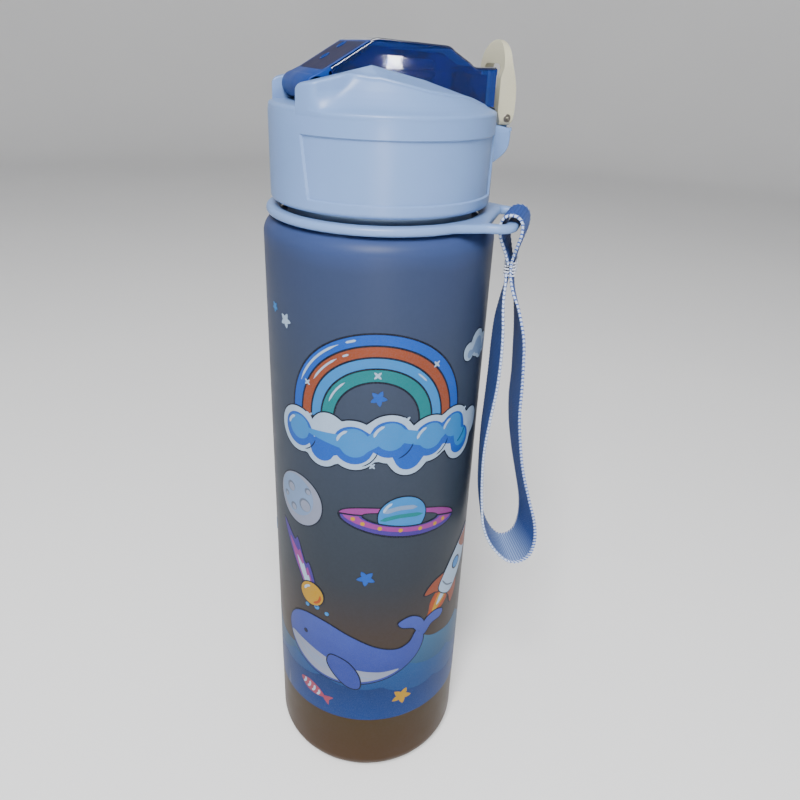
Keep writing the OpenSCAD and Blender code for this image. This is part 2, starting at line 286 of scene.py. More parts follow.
def scaled(tree, value, factor, offset=None):
    """value * factor + offset."""
    product = maths(tree, "MULTIPLY", value, factor)
    return product if offset is None else maths(tree, "ADD", product, offset)


def centred(tree, value):
    """A value that lies round 0.5, moved to lie round 0."""
    return maths(tree, "SUBTRACT", value, 0.5)


def ramp(tree, value, stops):
    """Colour ramp with (position, hex code) stops."""
    node = add(tree, "ShaderNodeValToRGB", {0: value})
    elements = node.color_ramp.elements
    while len(elements) < len(stops):
        elements.new(0.5)
    for element, (position, code) in zip(elements, stops):
        element.position = position
        element.color = srgb(code)
    return node.outputs[0]


def new_material(name):
    """(material, tree, shader) of a new node material."""
    material = bpy.data.materials.new(name)
    material.use_nodes = True
    return material, material.node_tree, material.node_tree.nodes["Principled BSDF"]


def finish(tree, shader, colour, roughness, constants=None):
    """Sets the shader's colour and roughness, each a value or a node's output, and its constants."""
    for key, value in {"Base Color": colour, "Roughness": roughness, **(constants or {})}.items():
        if isinstance(value, bpy.types.NodeSocket):
            tree.links.new(value, shader.inputs[key])
        else:
            shader.inputs[key].default_value = value


def object_space(tree):
    return add(tree, "ShaderNodeTexCoord").outputs["Object"]


def height_of(tree, vector):
    return add(tree, "ShaderNodeSeparateXYZ", {0: vector}).outputs[2]


def noise(tree, scale, detail=3.0, roughness=0.5, vector=None):
    """Noise, in the object's own space unless a vector is given."""
    if vector is None:
        vector = object_space(tree)
    inputs = {"Scale": scale, "Detail": detail, "Roughness": roughness, "Vector": vector}
    return add(tree, "ShaderNodeTexNoise", inputs).outputs[0]


def bumped(tree, shader, height, strength, distance):
    bump = add(tree, "ShaderNodeBump", {"Height": height, "Strength": strength, "Distance": distance})
    tree.links.new(bump.outputs[0], shader.inputs["Normal"])


WEAR, MOULD_GRAIN = 0.12, 2600.0    # how pale worn edges get, and the scale of the moulded grain


def plastic(name, code, roughness, spread, grain, subsurface=0.0, specular=0.28):
    """Moulded plastic: slow shade changes, worn pale edges, and a fine moulded grain."""
    material, tree, shader = new_material(name)
    colour = srgb(code)
    value = scaled(tree, centred(tree, noise(tree, 38.0, 2.0)), spread * 4, 1.0)
    base = add(tree, "ShaderNodeHueSaturation", {"Value": value, "Color": colour}).outputs[0]
    pointed = add(tree, "ShaderNodeNewGeometry").outputs["Pointiness"]
    worn = maths(tree, "MULTIPLY", maths(tree, "SUBTRACT", pointed, 0.52), 6.0, True)
    pale = tuple(min(1.0, c * 1.25 + 0.06) for c in colour[:3]) + (1.0,)
    base = mix(tree, scaled(tree, worn, WEAR), base, pale)
    rough = scaled(tree, centred(tree, noise(tree, 140.0, 4.0)), 0.18, roughness)
    finish(tree, shader, base, rough, {
        "IOR": 1.49, "Specular IOR Level": specular, "Subsurface Weight": subsurface,
        "Subsurface Radius": (0.004, 0.004, 0.005), "Subsurface Scale": 1.0})
    bumped(tree, shader, noise(tree, MOULD_GRAIN, 2.0), grain * 10, 0.00002)
    return material


# ---------------------------------------------------------------- camera

CAMERA_AZ = -19.0                # the camera's own frame, turned from the bottle's
CAMERA_DISTANCE, CAMERA_HEIGHT = 0.21658, 0.25270
YAW, PITCH, ROLL = 2.262, 26.424, 2.534
LENS, SENSOR = 31.65, 36.0


def camera():
    yaw, pitch, roll = (math.radians(a) for a in (YAW, PITCH, ROLL))
    forward = Vector((math.sin(yaw) * math.cos(pitch), math.cos(yaw) * math.cos(pitch), -math.sin(pitch)))
    right = Vector((math.cos(yaw), -math.sin(yaw), 0))
    up = right.cross(forward)
    across = right * math.cos(roll) + up * math.sin(roll)
    upright = up * math.cos(roll) - right * math.sin(roll)
    pose = Matrix((across, upright, -forward)).transposed().to_4x4()
    pose.translation = Vector((0, -CAMERA_DISTANCE, CAMERA_HEIGHT))
    data = bpy.data.cameras.new("camera")
    data.lens, data.sensor_width = LENS, SENSOR
    data.clip_start, data.clip_end = 0.01, 50
    obj = bpy.data.objects.new("camera", data)
    obj.matrix_world = Matrix.Rotation(math.radians(CAMERA_AZ), 4, "Z") @ pose
    bpy.context.collection.objects.link(obj)
    bpy.context.scene.camera = obj


camera()

# ---------------------------------------------------------------- strap

# Route of the webbing's middle: distance from the axis, height, width and turn about the upright.
# The points run close to those of the CAD strap; the turn follows how the free loop hangs. Just below
# the bar-tack the legs stand 6 mm apart, so that the cord's runs lie clear of each other at its width.
STRAP_ROUTE = [
    (41.0, 198.6, 9, 0), (40.2, 201.5, 11, 0), (39.1, 205, 15, 0), (38.2, 208, 17, 0), (38.2, 211, 17, 0),
    (39.4, 212.8, 17, 0), (41.2, 213.3, 17, 0), (43, 212.8, 17, 0), (44.2, 211, 17, 0), (44.2, 208, 17, 0),
    (43.4, 205, 15, 0), (42.4, 201.5, 11, 0), (41.9, 198.5, 9, 0), (41.8, 195.5, 9, 2), (42.4, 191, 11, 7),
    (43.8, 186, 14, 13), (45.3, 178, 16.5, 17), (46, 170, 17, 18), (46.5, 161, 17, 18), (46.7, 152, 17, 19),
    (47.8, 143, 17, 20), (49.8, 133, 17, 20), (52.5, 123, 17, 22), (54.9, 114, 17, 25), (55.6, 106.5, 17, 27),
    (54.6, 100.5, 17, 27), (52, 97, 17, 26), (48.8, 96, 17, 24), (45.4, 98.2, 17, 21),
    (42.4, 102.6, 17, 17), (40.2, 109, 17, 14), (39, 117, 17, 14), (38.3, 127, 17, 13), (38, 138, 17, 13),
    (38.4, 149, 17, 15), (38.9, 160, 17, 18), (39, 170, 17, 19), (39.1, 179, 16, 17), (39.6, 187, 13, 10),
    (40.4, 192.5, 10.5, 4), (40.7, 196, 9, 0)]
STRAP_SHIFT, STRAP_T, STRAP_W = -2.5, 0.9, 17.0     # shift across the tab, thickness and full width
STRAP_STEP = 0.3
RIB_PITCH, RIB_H = STRAP_STEP * 3, 0.035
BEAD_PITCH, BEAD_W = 1.25, 1.15
TAB_OUT = np.array([cosd(TAB_AZ), sind(TAB_AZ), 0])
TAB_SIDE = np.array([-sind(TAB_AZ), cosd(TAB_AZ), 0])
UP = np.array([0, 0, 1.0])


def smooth_path(points, step):
    """Catmull-Rom curve through the points, resampled to an even step along its first two columns."""
    p = np.asarray(points, float)
    fine = []
    for i in range(len(p) - 1):
        a, b, c, d = p[max(i - 1, 0)], p[i], p[i + 1], p[min(i + 2, len(p) - 1)]
        for t in np.linspace(0, 1, 24, endpoint=False):
            fine.append(between(a, b, c, d, t))
    fine.append(p[-1])
    fine = np.array(fine)
    along = np.concatenate([[0], np.cumsum(np.linalg.norm(np.diff(fine[:, :2], axis=0), axis=1))])
    count = int(round(along[-1] / step))
    marks = np.linspace(0, along[-1], count + 1)
    return np.stack([np.interp(marks, along, fine[:, k]) for k in range(p.shape[1])], 1), marks


def webbing_section(half, bead, rib):
    """Section of the ribbon as (across, out of its face) points: two crowned faces and two beaded edges."""
    flat = half - BEAD_W
    across = np.linspace(-1, 1, 21)
    crown = [STRAP_T * (0.40 + 0.06 * (1 - q * q)) for q in across]
    root = flat + 0.15
    reach = half - 0.25 + 0.25 * bead
    lump = STRAP_T * (0.42 + 0.16 * bead)
    bulge = [(root + (reach - root) * (0.35 + 0.65 * cosd(a)), lump * sind(a) * 1.05)
             for a in (60, 20, -20, -60)]
    section = [(q * flat, h + rib) for q, h in zip(across, crown)]
    section += bulge
    section += [(q * flat, rib - h) for q, h in zip(across[::-1], crown[::-1])]
    section += [(-x, h) for x, h in bulge[::-1]]
    return section


def strap():
    """Webbing: a flat ribbon with rounded faces and a beaded edge on each side, and its middle line."""
    path, along = smooth_path(STRAP_ROUTE, STRAP_STEP)
    centres = path[:, :1] * TAB_OUT + path[:, 1:2] * UP
    tangent = np.gradient(centres, axis=0)
    tangent /= np.linalg.norm(tangent, axis=1, keepdims=True)
    rings, places = [], []
    for i, centre in enumerate(centres):
        width = TAB_SIDE * cosd(path[i, 3]) + TAB_OUT * -sind(path[i, 3])
        normal = np.cross(tangent[i], width)
        normal /= np.linalg.norm(normal)
        bead = 0.5 + 0.5 * math.cos(2 * math.pi * along[i] / BEAD_PITCH)
        rib = RIB_H * math.cos(2 * math.pi * along[i] / RIB_PITCH)
        section = webbing_section(path[i, 2] / 2, bead, rib)
        rings.append([centre + width * (STRAP_SHIFT + q) + normal * h for q, h in section])
        places.append([q * STRAP_W / path[i, 2] for q, _ in section])
    verts, faces = loft(rings)
    ribbon = part("strap_webbing", verts, faces, "strap", webbing(), "webbing", "carry_strap", sharp=60)
    mesh = ribbon.data
    uv = mesh.uv_layers.new(name="weave")
    n = len(rings[0])
    for poly in mesh.polygons:
        for loop in poly.loop_indices:
            i, k = divmod(mesh.loops[loop].vertex_index, n)
            uv.data[loop].uv = (places[i][k] * MM * 100, along[i] * MM * 100)
    middle = (centres + TAB_SIDE * STRAP_SHIFT) * MM
    length = float(np.sum(np.linalg.norm(np.diff(middle, axis=0), axis=1)))
    return ribbon, middle, length


def webbing():
    """Blue woven webbing, cross-ribbed, with a white and blue braided edge. Runs on the strap's own
    coordinates: u across it and v along it, both in units of 10 mm."""
    material, tree, shader = new_material("webbing")
    uv = add(tree, "ShaderNodeUVMap", uv_map="weave").outputs[0]
    u, v, _ = add(tree, "ShaderNodeSeparateXYZ", {0: uv}).outputs

    def wave(value, period):
        """0 to 1 and back over each period, in millimetres."""
        turns = scaled(tree, value, 2 * math.pi * 10 / period)
        return scaled(tree, maths(tree, "SINE", turns), 0.5, 0.5)

    across = maths(tree, "ABSOLUTE", u, 0)
    rib = wave(v, RIB_PITCH)
    warp = wave(u, 0.62)
    twill = wave(maths(tree, "ADD", v, scaled(tree, u, 0.8)), 1.7)
    fleck = noise(tree, 60.0, 3.0, 0.7, uv)
    edge = maths(tree, "GREATER_THAN", across, (STRAP_W / 2 - BEAD_W) / 10)
    chevron = wave(maths(tree, "ADD", v, scaled(tree, across, 0.9)), BEAD_PITCH)
    beads = maths(tree, "GREATER_THAN", chevron, 0.42)
    blue, deep, pale = srgb("#24468a"), srgb("#142d6a"), srgb("#8ea4c8")
    ground = mix(tree, scaled(tree, rib, 0.55), deep, blue)
    thread_height = maths(tree, "MULTIPLY", twill, maths(tree, "MULTIPLY", warp, fleck))
    raised = maths(tree, "GREATER_THAN", thread_height, 0.42)
    ground = mix(tree, scaled(tree, raised, 0.5), ground, pale)
    ground = mix(tree, scaled(tree, fleck, 0.35), ground, blue)
    height = height_of(tree, object_space(tree))
    # Paler towards the bottom of the hanging loop, strongest on the rib crests: a painted sheen where the
    # upturned inner face catches the light.
    bend = add(tree, "ShaderNodeMapRange",
               {0: height, 1: LOOP_BEND_Z + 0.006, 2: LOOP_BEND_Z - 0.004}).outputs[0]
    loop_painted_sheen = maths(tree, "MULTIPLY", bend, scaled(tree, rib, 0.5, 0.25))
    ground = mix(tree, loop_painted_sheen, ground, srgb("#8ba1c4"))
    trim = mix(tree, beads, srgb("#24428a"), srgb("#a9b6cc"))
    finish(tree, shader, mix(tree, edge, ground, trim), 0.62, {
        "Specular IOR Level": 0.15, "Sheen Weight": 0.08, "Sheen Roughness": 0.35,
        "Sheen Tint": srgb("#8fa6dc")})
    weave = maths(tree, "ADD", scaled(tree, rib, 0.6), scaled(tree, warp, 0.4))
    bumped(tree, shader, weave, 0.7, 0.00012)
    return material


def stitch_thread():
    """Pale twisted sewing thread."""
    material, tree, shader = new_material("stitch_thread")
    twist = add(tree, "ShaderNodeTexWave", {"Scale": 900.0, "Distortion": 1.0}, wave_type="BANDS",
                bands_direction="DIAGONAL").outputs[1]
    finish(tree, shader, mix(tree, twist, srgb("#8f9cbb"), srgb("#eef1f6")), 0.6, {"Sheen Weight": 0.4})
    bumped(tree, shader, twist, 0.5, 0.0001)
    return material


def bar_tack():
    """Zigzag stitching that closes the webbing's eye, in place of the plain CAD block."""
    low, high = node_size("strap_stitch")
    middle_u, half_u, half_v, corner = 41.35, 1.5, 3.2, 0.5
    passes, margin, slant, thread_r = 9, 0.4, 0.25, 0.27
    corners = [(half_u - corner, half_v - corner), (corner - half_u, half_v - corner),
               (corner - half_u, corner - half_v), (half_u - corner, corner - half_v)]
    outline = resample([p for k, centre in enumerate(corners)
                        for p in arc(centre, corner, 90 * k, 90 * k + 90, 3)], 0.8)
    parts = []
    for k in range(passes):
        z = low[2] + margin + (high[2] - low[2] - 2 * margin) * k / (passes - 1)
        tilt = slant * (-1) ** k
        loop = [TAB_OUT * (middle_u + u) + TAB_SIDE * (STRAP_SHIFT + v) + UP * (z + tilt * v / half_v)
                for u, v in outline]
        rings = []
        for i, centre in enumerate(loop):
            along = loop[(i + 1) % len(loop)] - loop[i - 1]
            along /= np.linalg.norm(along)
            away = np.cross(along, UP)
            away /= np.linalg.norm(away)
            rings.append([centre + thread_r * (away * math.cos(t) + np.cross(away, along) * math.sin(t))
                          for t in np.linspace(0, 2 * math.pi, 8, endpoint=False)])
        parts.append(loft(rings, closed_path=True))
    verts, faces = joined(parts)
    return part("strap_bar_tack", verts, faces, "strap", stitch_thread(), "stitch_thread", "strap_stitch",
                sharp=70)


webbing_piece, webbing_middle, webbing_length = strap()
tack = bar_tack()

# ---------------------------------------------------------------- bottle

PRINT_AZ = -107.0                # middle of the print's front
WALL = 1.8


def frosted():
    """Frosted plastic: slate blue at the shoulder, darker at the middle, amber at the base."""
    material, tree, shader = new_material("bottle_frost")
    place = object_space(tree)
    cloud = noise(tree, 26.0, 2.0, 0.5, place)
    height = maths(tree, "ADD", maths(tree, "DIVIDE", height_of(tree, place), NECK_Z * MM),
                   scaled(tree, centred(tree, cloud), 0.03))
    # The last, pale stop is painted light: it lifts the neck that lies in shade in the gap under the cap.
    base = ramp(tree, height, [
        (0.02, "#352104"), (0.16, "#30250c"), (0.30, "#2f261f"), (0.40, "#23272c"), (0.52, "#252c35"),
        (0.70, "#2b3342"), (0.86, "#2b3550"), (0.90, "#31406a"), (0.915, "#9db4cf")])
    speck = noise(tree, 900.0, 2.0, 0.6, place)
    base = mix(tree, scaled(tree, speck, 0.07), base, srgb("#4c5870"))
    rough = scaled(tree, noise(tree, 120.0, 3.0, 0.5, place), 0.10, 0.36)
    finish(tree, shader, base, rough, {"IOR": 1.47, "Specular IOR Level": 0.12})
    bumped(tree, shader, noise(tree, 3200.0, 2.0, 0.6, place), 0.25, 0.00003)
    return material


def bottle_profile():
    """Outer wall from the base to the mouth, then down the inside."""
    corner, shoulder, neck, bore, lip = 7.2, 5.5, 27.6, 25.6, 0.9
    inner = BODY_R - WALL
    outside = ([(0, 0)] + [(r, 0) for r in (6, 12, 18, 23, 26)]
               + arc((BODY_R - corner, corner), corner, -90, 0, 20)
               + [(BODY_R, z) for z in np.linspace(14, SHOULDER_Z - shoulder - 2, 40)]
               + arc((BODY_R - shoulder, SHOULDER_Z - shoulder), shoulder, 0, 90, 16)
               + [(neck + 0.5, SHOULDER_Z)] + arc((neck + 0.5, SHOULDER_Z + 0.5), 0.5, -90, -180, 4)
               + [(neck, z) for z in (SHOULDER_Z + 4, SHOULDER_Z + 14)]
               + arc((neck - lip, NECK_Z - lip), lip, 0, 90, 5)
               + arc((bore + 0.5, NECK_Z - 0.5), 0.5, 90, 180, 4))
    inside = ([(bore, SHOULDER_Z + 8)] + arc((bore + 2, SHOULDER_Z - 2), 2, 180, 230, 4)
              + arc((inner - 4.5, SHOULDER_Z - WALL - 6), 4.5, 60, 0, 8)
              + [(inner, z) for z in (150, 100, 50)]
              + arc((inner - 5.4, 7.8), 5.4, 0, -90, 10) + [(14, 2.4), (0, 2.4)])
    return outside + inside


def thread(root, crest, start, name, body, material, slot):
    """Helical ridge with faded ends."""
    turns, pitch, steps, fade_steps = 1.75, 4.0, 72, 9
    count = int(turns * steps)
    rings = []
    for i in range(count + 1):
        angle = 2 * math.pi * i / steps
        fade = max(0.08, min(1.0, i / fade_steps, (count - i) / fade_steps))
        z = start + pitch * i / steps
        tip = root + (crest - root) * fade
        points = [(root, -1.0), (root + (tip - root) * 0.75, -0.66), (tip, -0.36), (tip, 0.36),
                  (root + (tip - root) * 0.75, 0.66), (root, 1.0)]
        rings.append([(r * math.cos(angle), r * math.sin(angle), z + dz) for r, dz in points])
    verts, faces = loft(rings)
    part(name, verts, faces, body, material, slot, sharp=60)


frost = frosted()
bottle_verts, bottle_faces = revolve(bottle_profile(), 256)
part("bottle_body", bottle_verts, bottle_faces, "bottle", frost, "bottle_frost", "bottle_shell")
thread(27.3, 29.2, SHOULDER_Z + 9.6, "neck_thread", "bottle", frost, "bottle_frost")

# ---------------------------------------------------------------- print

# The artwork is drawn flat: along the wall from the print's middle, and up from the base, in millimetres.
# Every shape is a thin closed plate bent round the wall, and a later layer stands a little prouder.
INK_LOW, INK_STEP, INK_BASE = 0.035, 0.025, -0.03    # first layer, each further one, and the plates' backs
CUT = 1.4                        # widest strip of a plate, so that it follows the wall


def ink(name, colour, shade=None, low=0.0, high=1.0):
    """Printed ink: a fine screen of dots over the colour, and a fade to a second shade up the height."""
    material, tree, shader = new_material("ink_" + name)
    place = object_space(tree)
    base = srgb(colour)
    blotch = noise(tree, 160.0, 3.0, 0.6, place)
    if shade:
        way = add(tree, "ShaderNodeMapRange",
                  {0: height_of(tree, place), 1: low * MM, 2: high * MM}).outputs[0]
        base = mix(tree, way, base, srgb(shade))
    tone = add(tree, "ShaderNodeHueSaturation",
               {"Value": scaled(tree, blotch, 0.22, 0.89), "Color": base}).outputs[0]
    screen = add(tree, "ShaderNodeTexVoronoi", {"Vector": place, "Scale": 3800.0}).outputs[0]
    dots = scaled(tree, maths(tree, "GREATER_THAN", screen, 0.55), 0.10)
    finish(tree, shader, mix(tree, dots, tone, srgb("#5a6478")), 0.42, {"Specular IOR Level": 0.12})
    bumped(tree, shader, blotch, 0.15, 0.00002)
    return material


INKS = {name: ink(name, *look) for name, look in {
    "navy": ("#070a18",), "white": ("#8497ad",), "pearl": ("#5f7492",), "blue": ("#09408e",),
    "sky": ("#22649c",), "teal": ("#045c61",), "rust": ("#70351d",), "violet": ("#33206b",),
    "pink": ("#70286a",), "rose": ("#7a3040",), "gold": ("#8e6c0c",), "orange": ("#83360a",),
    "grey": ("#4a5262",), "whale": ("#232f70", "#323f84", 55, 80), "belly": ("#6d7385",),
    "wave_pale": ("#173a58", "#2e5472", 52, 72), "wave_mid": ("#08305f", "#123f6c", 45, 62),
    "wave_deep": ("#02265c", "#011b46", 30, 52),
}.items()}


def circle(x, y, r, ry=None, tilt=0.0, steps=40, start=0.0, end=360.0):
    """Points round a circle or an ellipse."""
    t = math.radians(tilt)
    whole = end - start >= 360.0
    out = []
    for i in range(steps if whole else steps + 1):
        a = math.radians(start + (end - start) * i / steps)
        px, py = r * math.cos(a), (ry or r) * math.sin(a)
        out.append((x + px * math.cos(t) - py * math.sin(t), y + px * math.sin(t) + py * math.cos(t)))
    return out


def star(x, y, r, points=5, waist=0.5, tilt=0.0):
    """A plump star: a circle whose radius swings between r and waist * r."""
    out = []
    steps = points * 10
    for i in range(steps):
        a = 2 * math.pi * i / steps
        swing = abs(((i / steps * points) % 1) * 2 - 1)
        radius = r * (waist + (1 - waist) * swing ** 1.25)
        b = a + math.radians(90 + tilt) + math.pi / points
        out.append((x + radius * math.cos(b), y + radius * math.sin(b)))
    return out


def spline(points, steps=8, closed=True):
    """Smooth curve through the points, closed or open."""
    p = [np.array(q, float) for q in points]
    n = len(p)
    out = []
    for i in range(n if closed else n - 1):
        if closed:
            a, b, c, d = p[i - 1], p[i], p[(i + 1) % n], p[(i + 2) % n]
        else:
            a, b, c, d = p[max(i - 1, 0)], p[i], p[i + 1], p[min(i + 2, n - 1)]
        for t in np.linspace(0, 1, steps, endpoint=False):
            out.append(tuple(between(a, b, c, d, t)))
    if not closed:
        out.append(tuple(p[-1]))
    return out


def puffs(balls, grow=0.0, steps=90):
    """Outline of a row of overlapping balls, (x, y, r) each."""
    left = min(x - r for x, y, r in balls) - grow
    right = max(x + r for x, y, r in balls) + grow
    top, bottom = [], []
    for i in range(steps + 1):
        s = left + (right - left) * (1 - math.cos(math.pi * i / steps)) / 2
        reach = [(y, math.sqrt(max(0.0, (r + grow) ** 2 - (s - x) ** 2))) for x, y, r in balls
                 if abs(s - x) <= r + grow + 1e-9]
        if not reach:
            continue
        top.append((s, max(y + h for y, h in reach)))
        bottom.append((s, min(y - h for y, h in reach)))
    return top + bottom[-2:0:-1]


def grown(loop, distance):
    """The loop moved outwards."""
    return [tuple(p) for p in inset(turned(loop), -distance)]


def stroke(points, width, steps=6):
    """A line of that width along the points, with round ends and an even taper at each."""
    p = np.array(spline(points, steps, False))
    d = np.gradient(p, axis=0)
    d /= np.maximum(np.linalg.norm(d, axis=1, keepdims=True), 1e-9)
    normal = np.stack([-d[:, 1], d[:, 0]], 1)
    t = np.linspace(0, 1, len(p))
    half = width / 2 * np.clip(np.sin(math.pi * t) * 2.2, 0.18, 1)[:, None]
    return [tuple(q) for q in p + normal * half] + [tuple(q) for q in (p - normal * half)[::-1]]


def rotated(loop, x, y, angle, scale=1.0):
    """A loop drawn round the origin, put at x, y."""
    c, s = cosd(angle) * scale, sind(angle) * scale
    return [(x + px * c - py * s, y + px * s + py * c) for px, py in loop]


def printed(name, shapes):
    """One object of ink plates. A shape is (ink, layer, outline, holes...)."""
    names = list(dict.fromkeys(shape[0] for shape in shapes))
    verts, faces, slots = [], [], []
    for colour, layer, outline, *holes in shapes:
        v, f = plate(outline, holes, 0.0, 1.0, cut=(CUT, 0))
        base = len(verts)
        height = INK_LOW + layer * INK_STEP
        for s, z, h in v:
            r = BODY_R + (height if h > 0.5 else INK_BASE)
            a = math.radians(PRINT_AZ) + s / BODY_R
            verts.append((r * math.cos(a), r * math.sin(a), z))
        faces.extend(tuple(base + k for k in face) for face in f)
        slots.extend([names.index(colour)] * len(f))
    piece = build(name, verts, faces, "bottle", [INKS[n] for n in names], slots, sharp=30)


def rainbow():
    x, y = -0.6, 154.8
    radii = [28.0, 27.4, 24.4, 23.8, 20.9, 20.3, 17.4, 16.8, 13.2, 12.6]
    colours = ["navy", "blue", "navy", "rust", "navy", "sky", "navy", "teal", "navy"]
    shapes = []
    for k, colour in enumerate(colours):
        outer, inner = radii[k], radii[k + 1]
        shapes.append((colour, 0, circle(x, y, outer, start=-2, end=182, steps=72)
                       + circle(x, y, inner, start=182, end=-2, steps=60)))
    for radius, start, end, width in ((26.2, 116, 158, 0.7), (22.6, 122, 150, 0.6), (15.4, 128, 160, 0.6),
                                      (26.2, 104, 111, 0.7), (22.6, 112, 117, 0.6), (19.2, 40, 52, 0.5)):
        a = circle(x, y, radius, start=start, end=end, steps=12)
        shapes.append(("white", 1, stroke(a, width, 2)))
    for px, py, r in ((-0.6, 169.8, 1.5), (17.2, 172.0, 1.3), (-22.5, 164.5, 1.2)):
        shapes.append(("white", 2, star(px, py, r, 4, 0.3)))
    return shapes


CLOUD_BANK = [(-26.5, 147.5, 7.6), (-17.5, 143.5, 6.2), (-15.5, 150.5, 5.6), (-7.5, 146.5, 8.4),
              (3.5, 149.0, 8.2), (9.5, 142.5, 6.4), (16.5, 147.5, 7.9), (25.5, 148.6, 7.4),
              (29.5, 143.0, 6.6), (35.0, 147.2, 5.0)]


def cloud_bank():
    shapes = [("navy", 3, puffs(CLOUD_BANK, 0.45)), ("white", 4, puffs(CLOUD_BANK)),
              ("blue", 5, puffs([(x, y, r - 2.3) for x, y, r in CLOUD_BANK if r > 6], 0.35)),
              ("sky", 6, puffs([(x + 0.3, y + 0.9, r - 3.5) for x, y, r in CLOUD_BANK if r > 6.5]))]
    for x, y, r in CLOUD_BANK:
        if r > 7:
            shapes.append(("white", 7, stroke(circle(x, y, r - 3.4, start=110, end=170, steps=6), 0.9, 3)))
            shapes.append(("navy", 7,
                           stroke(circle(x + 0.4, y, r - 1.1, start=-70, end=-15, steps=6), 0.35, 3)))
    for px, py, r in ((-22.0, 153.6, 1.5), (8.4, 155.2, 1.4), (30.6, 153.0, 1.3), (-1.6, 139.8, 1.2)):
        shapes.append(("white", 8, star(px, py, r, 4, 0.3)))
    return shapes


def ringed_planet():
    x, y, tilt = 8.6, 119.0, -9.0
    ring_out = circle(x, y - 1.0, 20.8, 5.4, tilt, 72)
    ring_in = circle(x, y + 0.2, 13.0, 2.3, tilt, 60)
    globe = circle(x, y + 1.6, 7.9, 7.3, 0, 60)
    front = (circle(x, y - 1.0, 20.3, 4.9, tilt, 48, 180, 360)
             + circle(x, y + 0.2, 13.3, 2.6, tilt, 40, 360, 180))
    shapes = [("navy", 0, grown(ring_out, 0.45), ring_in), ("pink", 1, ring_out, grown(ring_in, 0.4)),
              ("navy", 2, grown(globe, 0.45)), ("sky", 3, globe),
              ("pearl", 4, stroke([(x - 6.2, y + 3.6), (x - 1, y + 4.9), (x + 4.8, y + 4.4)], 1.6)),
              ("teal", 4, stroke([(x - 7.2, y + 0.6), (x - 1, y + 1.8), (x + 7.0, y + 1.2)], 1.5)),
              ("white", 5, stroke(circle(x - 1, y + 2.2, 5.4, start=118, end=165, steps=6), 0.9, 3)),
              ("navy", 6, grown(front, 0.45)), ("violet", 7, front),
              ("pink", 8, circle(x, y - 0.6, 19.4, 3.7, tilt, 48, 184, 356)
               + circle(x, y + 0.1, 14.2, 2.7, tilt, 40, 356, 184))]
    for angle in (200, 222, 246, 270, 294, 318, 340):
        a, t = math.radians(angle), math.radians(tilt)
        px, py = 16.9 * math.cos(a), 3.3 * math.sin(a)
        shapes.append(("gold", 9, circle(x + px * math.cos(t) - py * math.sin(t),
                                         y - 0.4 + px * math.sin(t) + py * math.cos(t), 0.75, steps=14)))
    return shapes


def moon_and_comet():
    """A cratered moon over a comet with a streaming tail."""
    x, y, r = -27.5, 121.0, 9.6
    shapes = [("navy", 0, circle(x, y, r + 0.5, steps=60)), ("belly", 1, circle(x, y, r, steps=60)),
              ("pearl", 2, circle(x - 1.2, y + 1.2, r - 2.0, steps=48))]
    for dx, dy, cr in ((-3.6, 3.4, 1.9), (2.8, -1.2, 2.5), (-2.6, -4.0, 1.5), (4.2, 4.6, 1.3),
                       (-6.4, -0.6, 1.1)):
        shapes.append(("grey", 3, circle(x + dx, y + dy, cr, steps=24)))
        shapes.append(("belly", 4, circle(x + dx + 0.25, y + dy - 0.25, cr - 0.4, steps=20)))
    head_x, head_y = -22.5, 84.0
    tail = [(3.2, 1.6), (8.0, 7.5), (14.5, 16.5), (19.0, 25.0), (11.0, 19.5), (8.5, 20.5), (3.8, 12.0),
            (1.4, 12.5), (-1.8, 4.2)]
    outline = spline([(head_x - px * 0.72, head_y + py) for px, py in tail], 6)
    shapes += [("navy", 0, grown(outline, 0.45)), ("violet", 1, outline),
               ("pink", 2, spline([(head_x - px * 0.5 - 0.8, head_y + 1 + py * 0.74) for px, py in tail], 6)),
               ("white", 3, spline([(head_x - px * 0.3 - 0.8, head_y + 1 + py * 0.5) for px, py in tail], 6)),
               ("navy", 4, circle(head_x, head_y, 5.3, steps=40)),
               ("gold", 5, circle(head_x, head_y, 4.8, steps=40)),
               ("orange", 6, stroke(circle(head_x, head_y, 3.6, start=-80, end=10, steps=6), 1.0, 3)),
               ("white", 6, stroke(circle(head_x, head_y, 3.2, start=100, end=165, steps=6), 0.9, 3))]
    return shapes


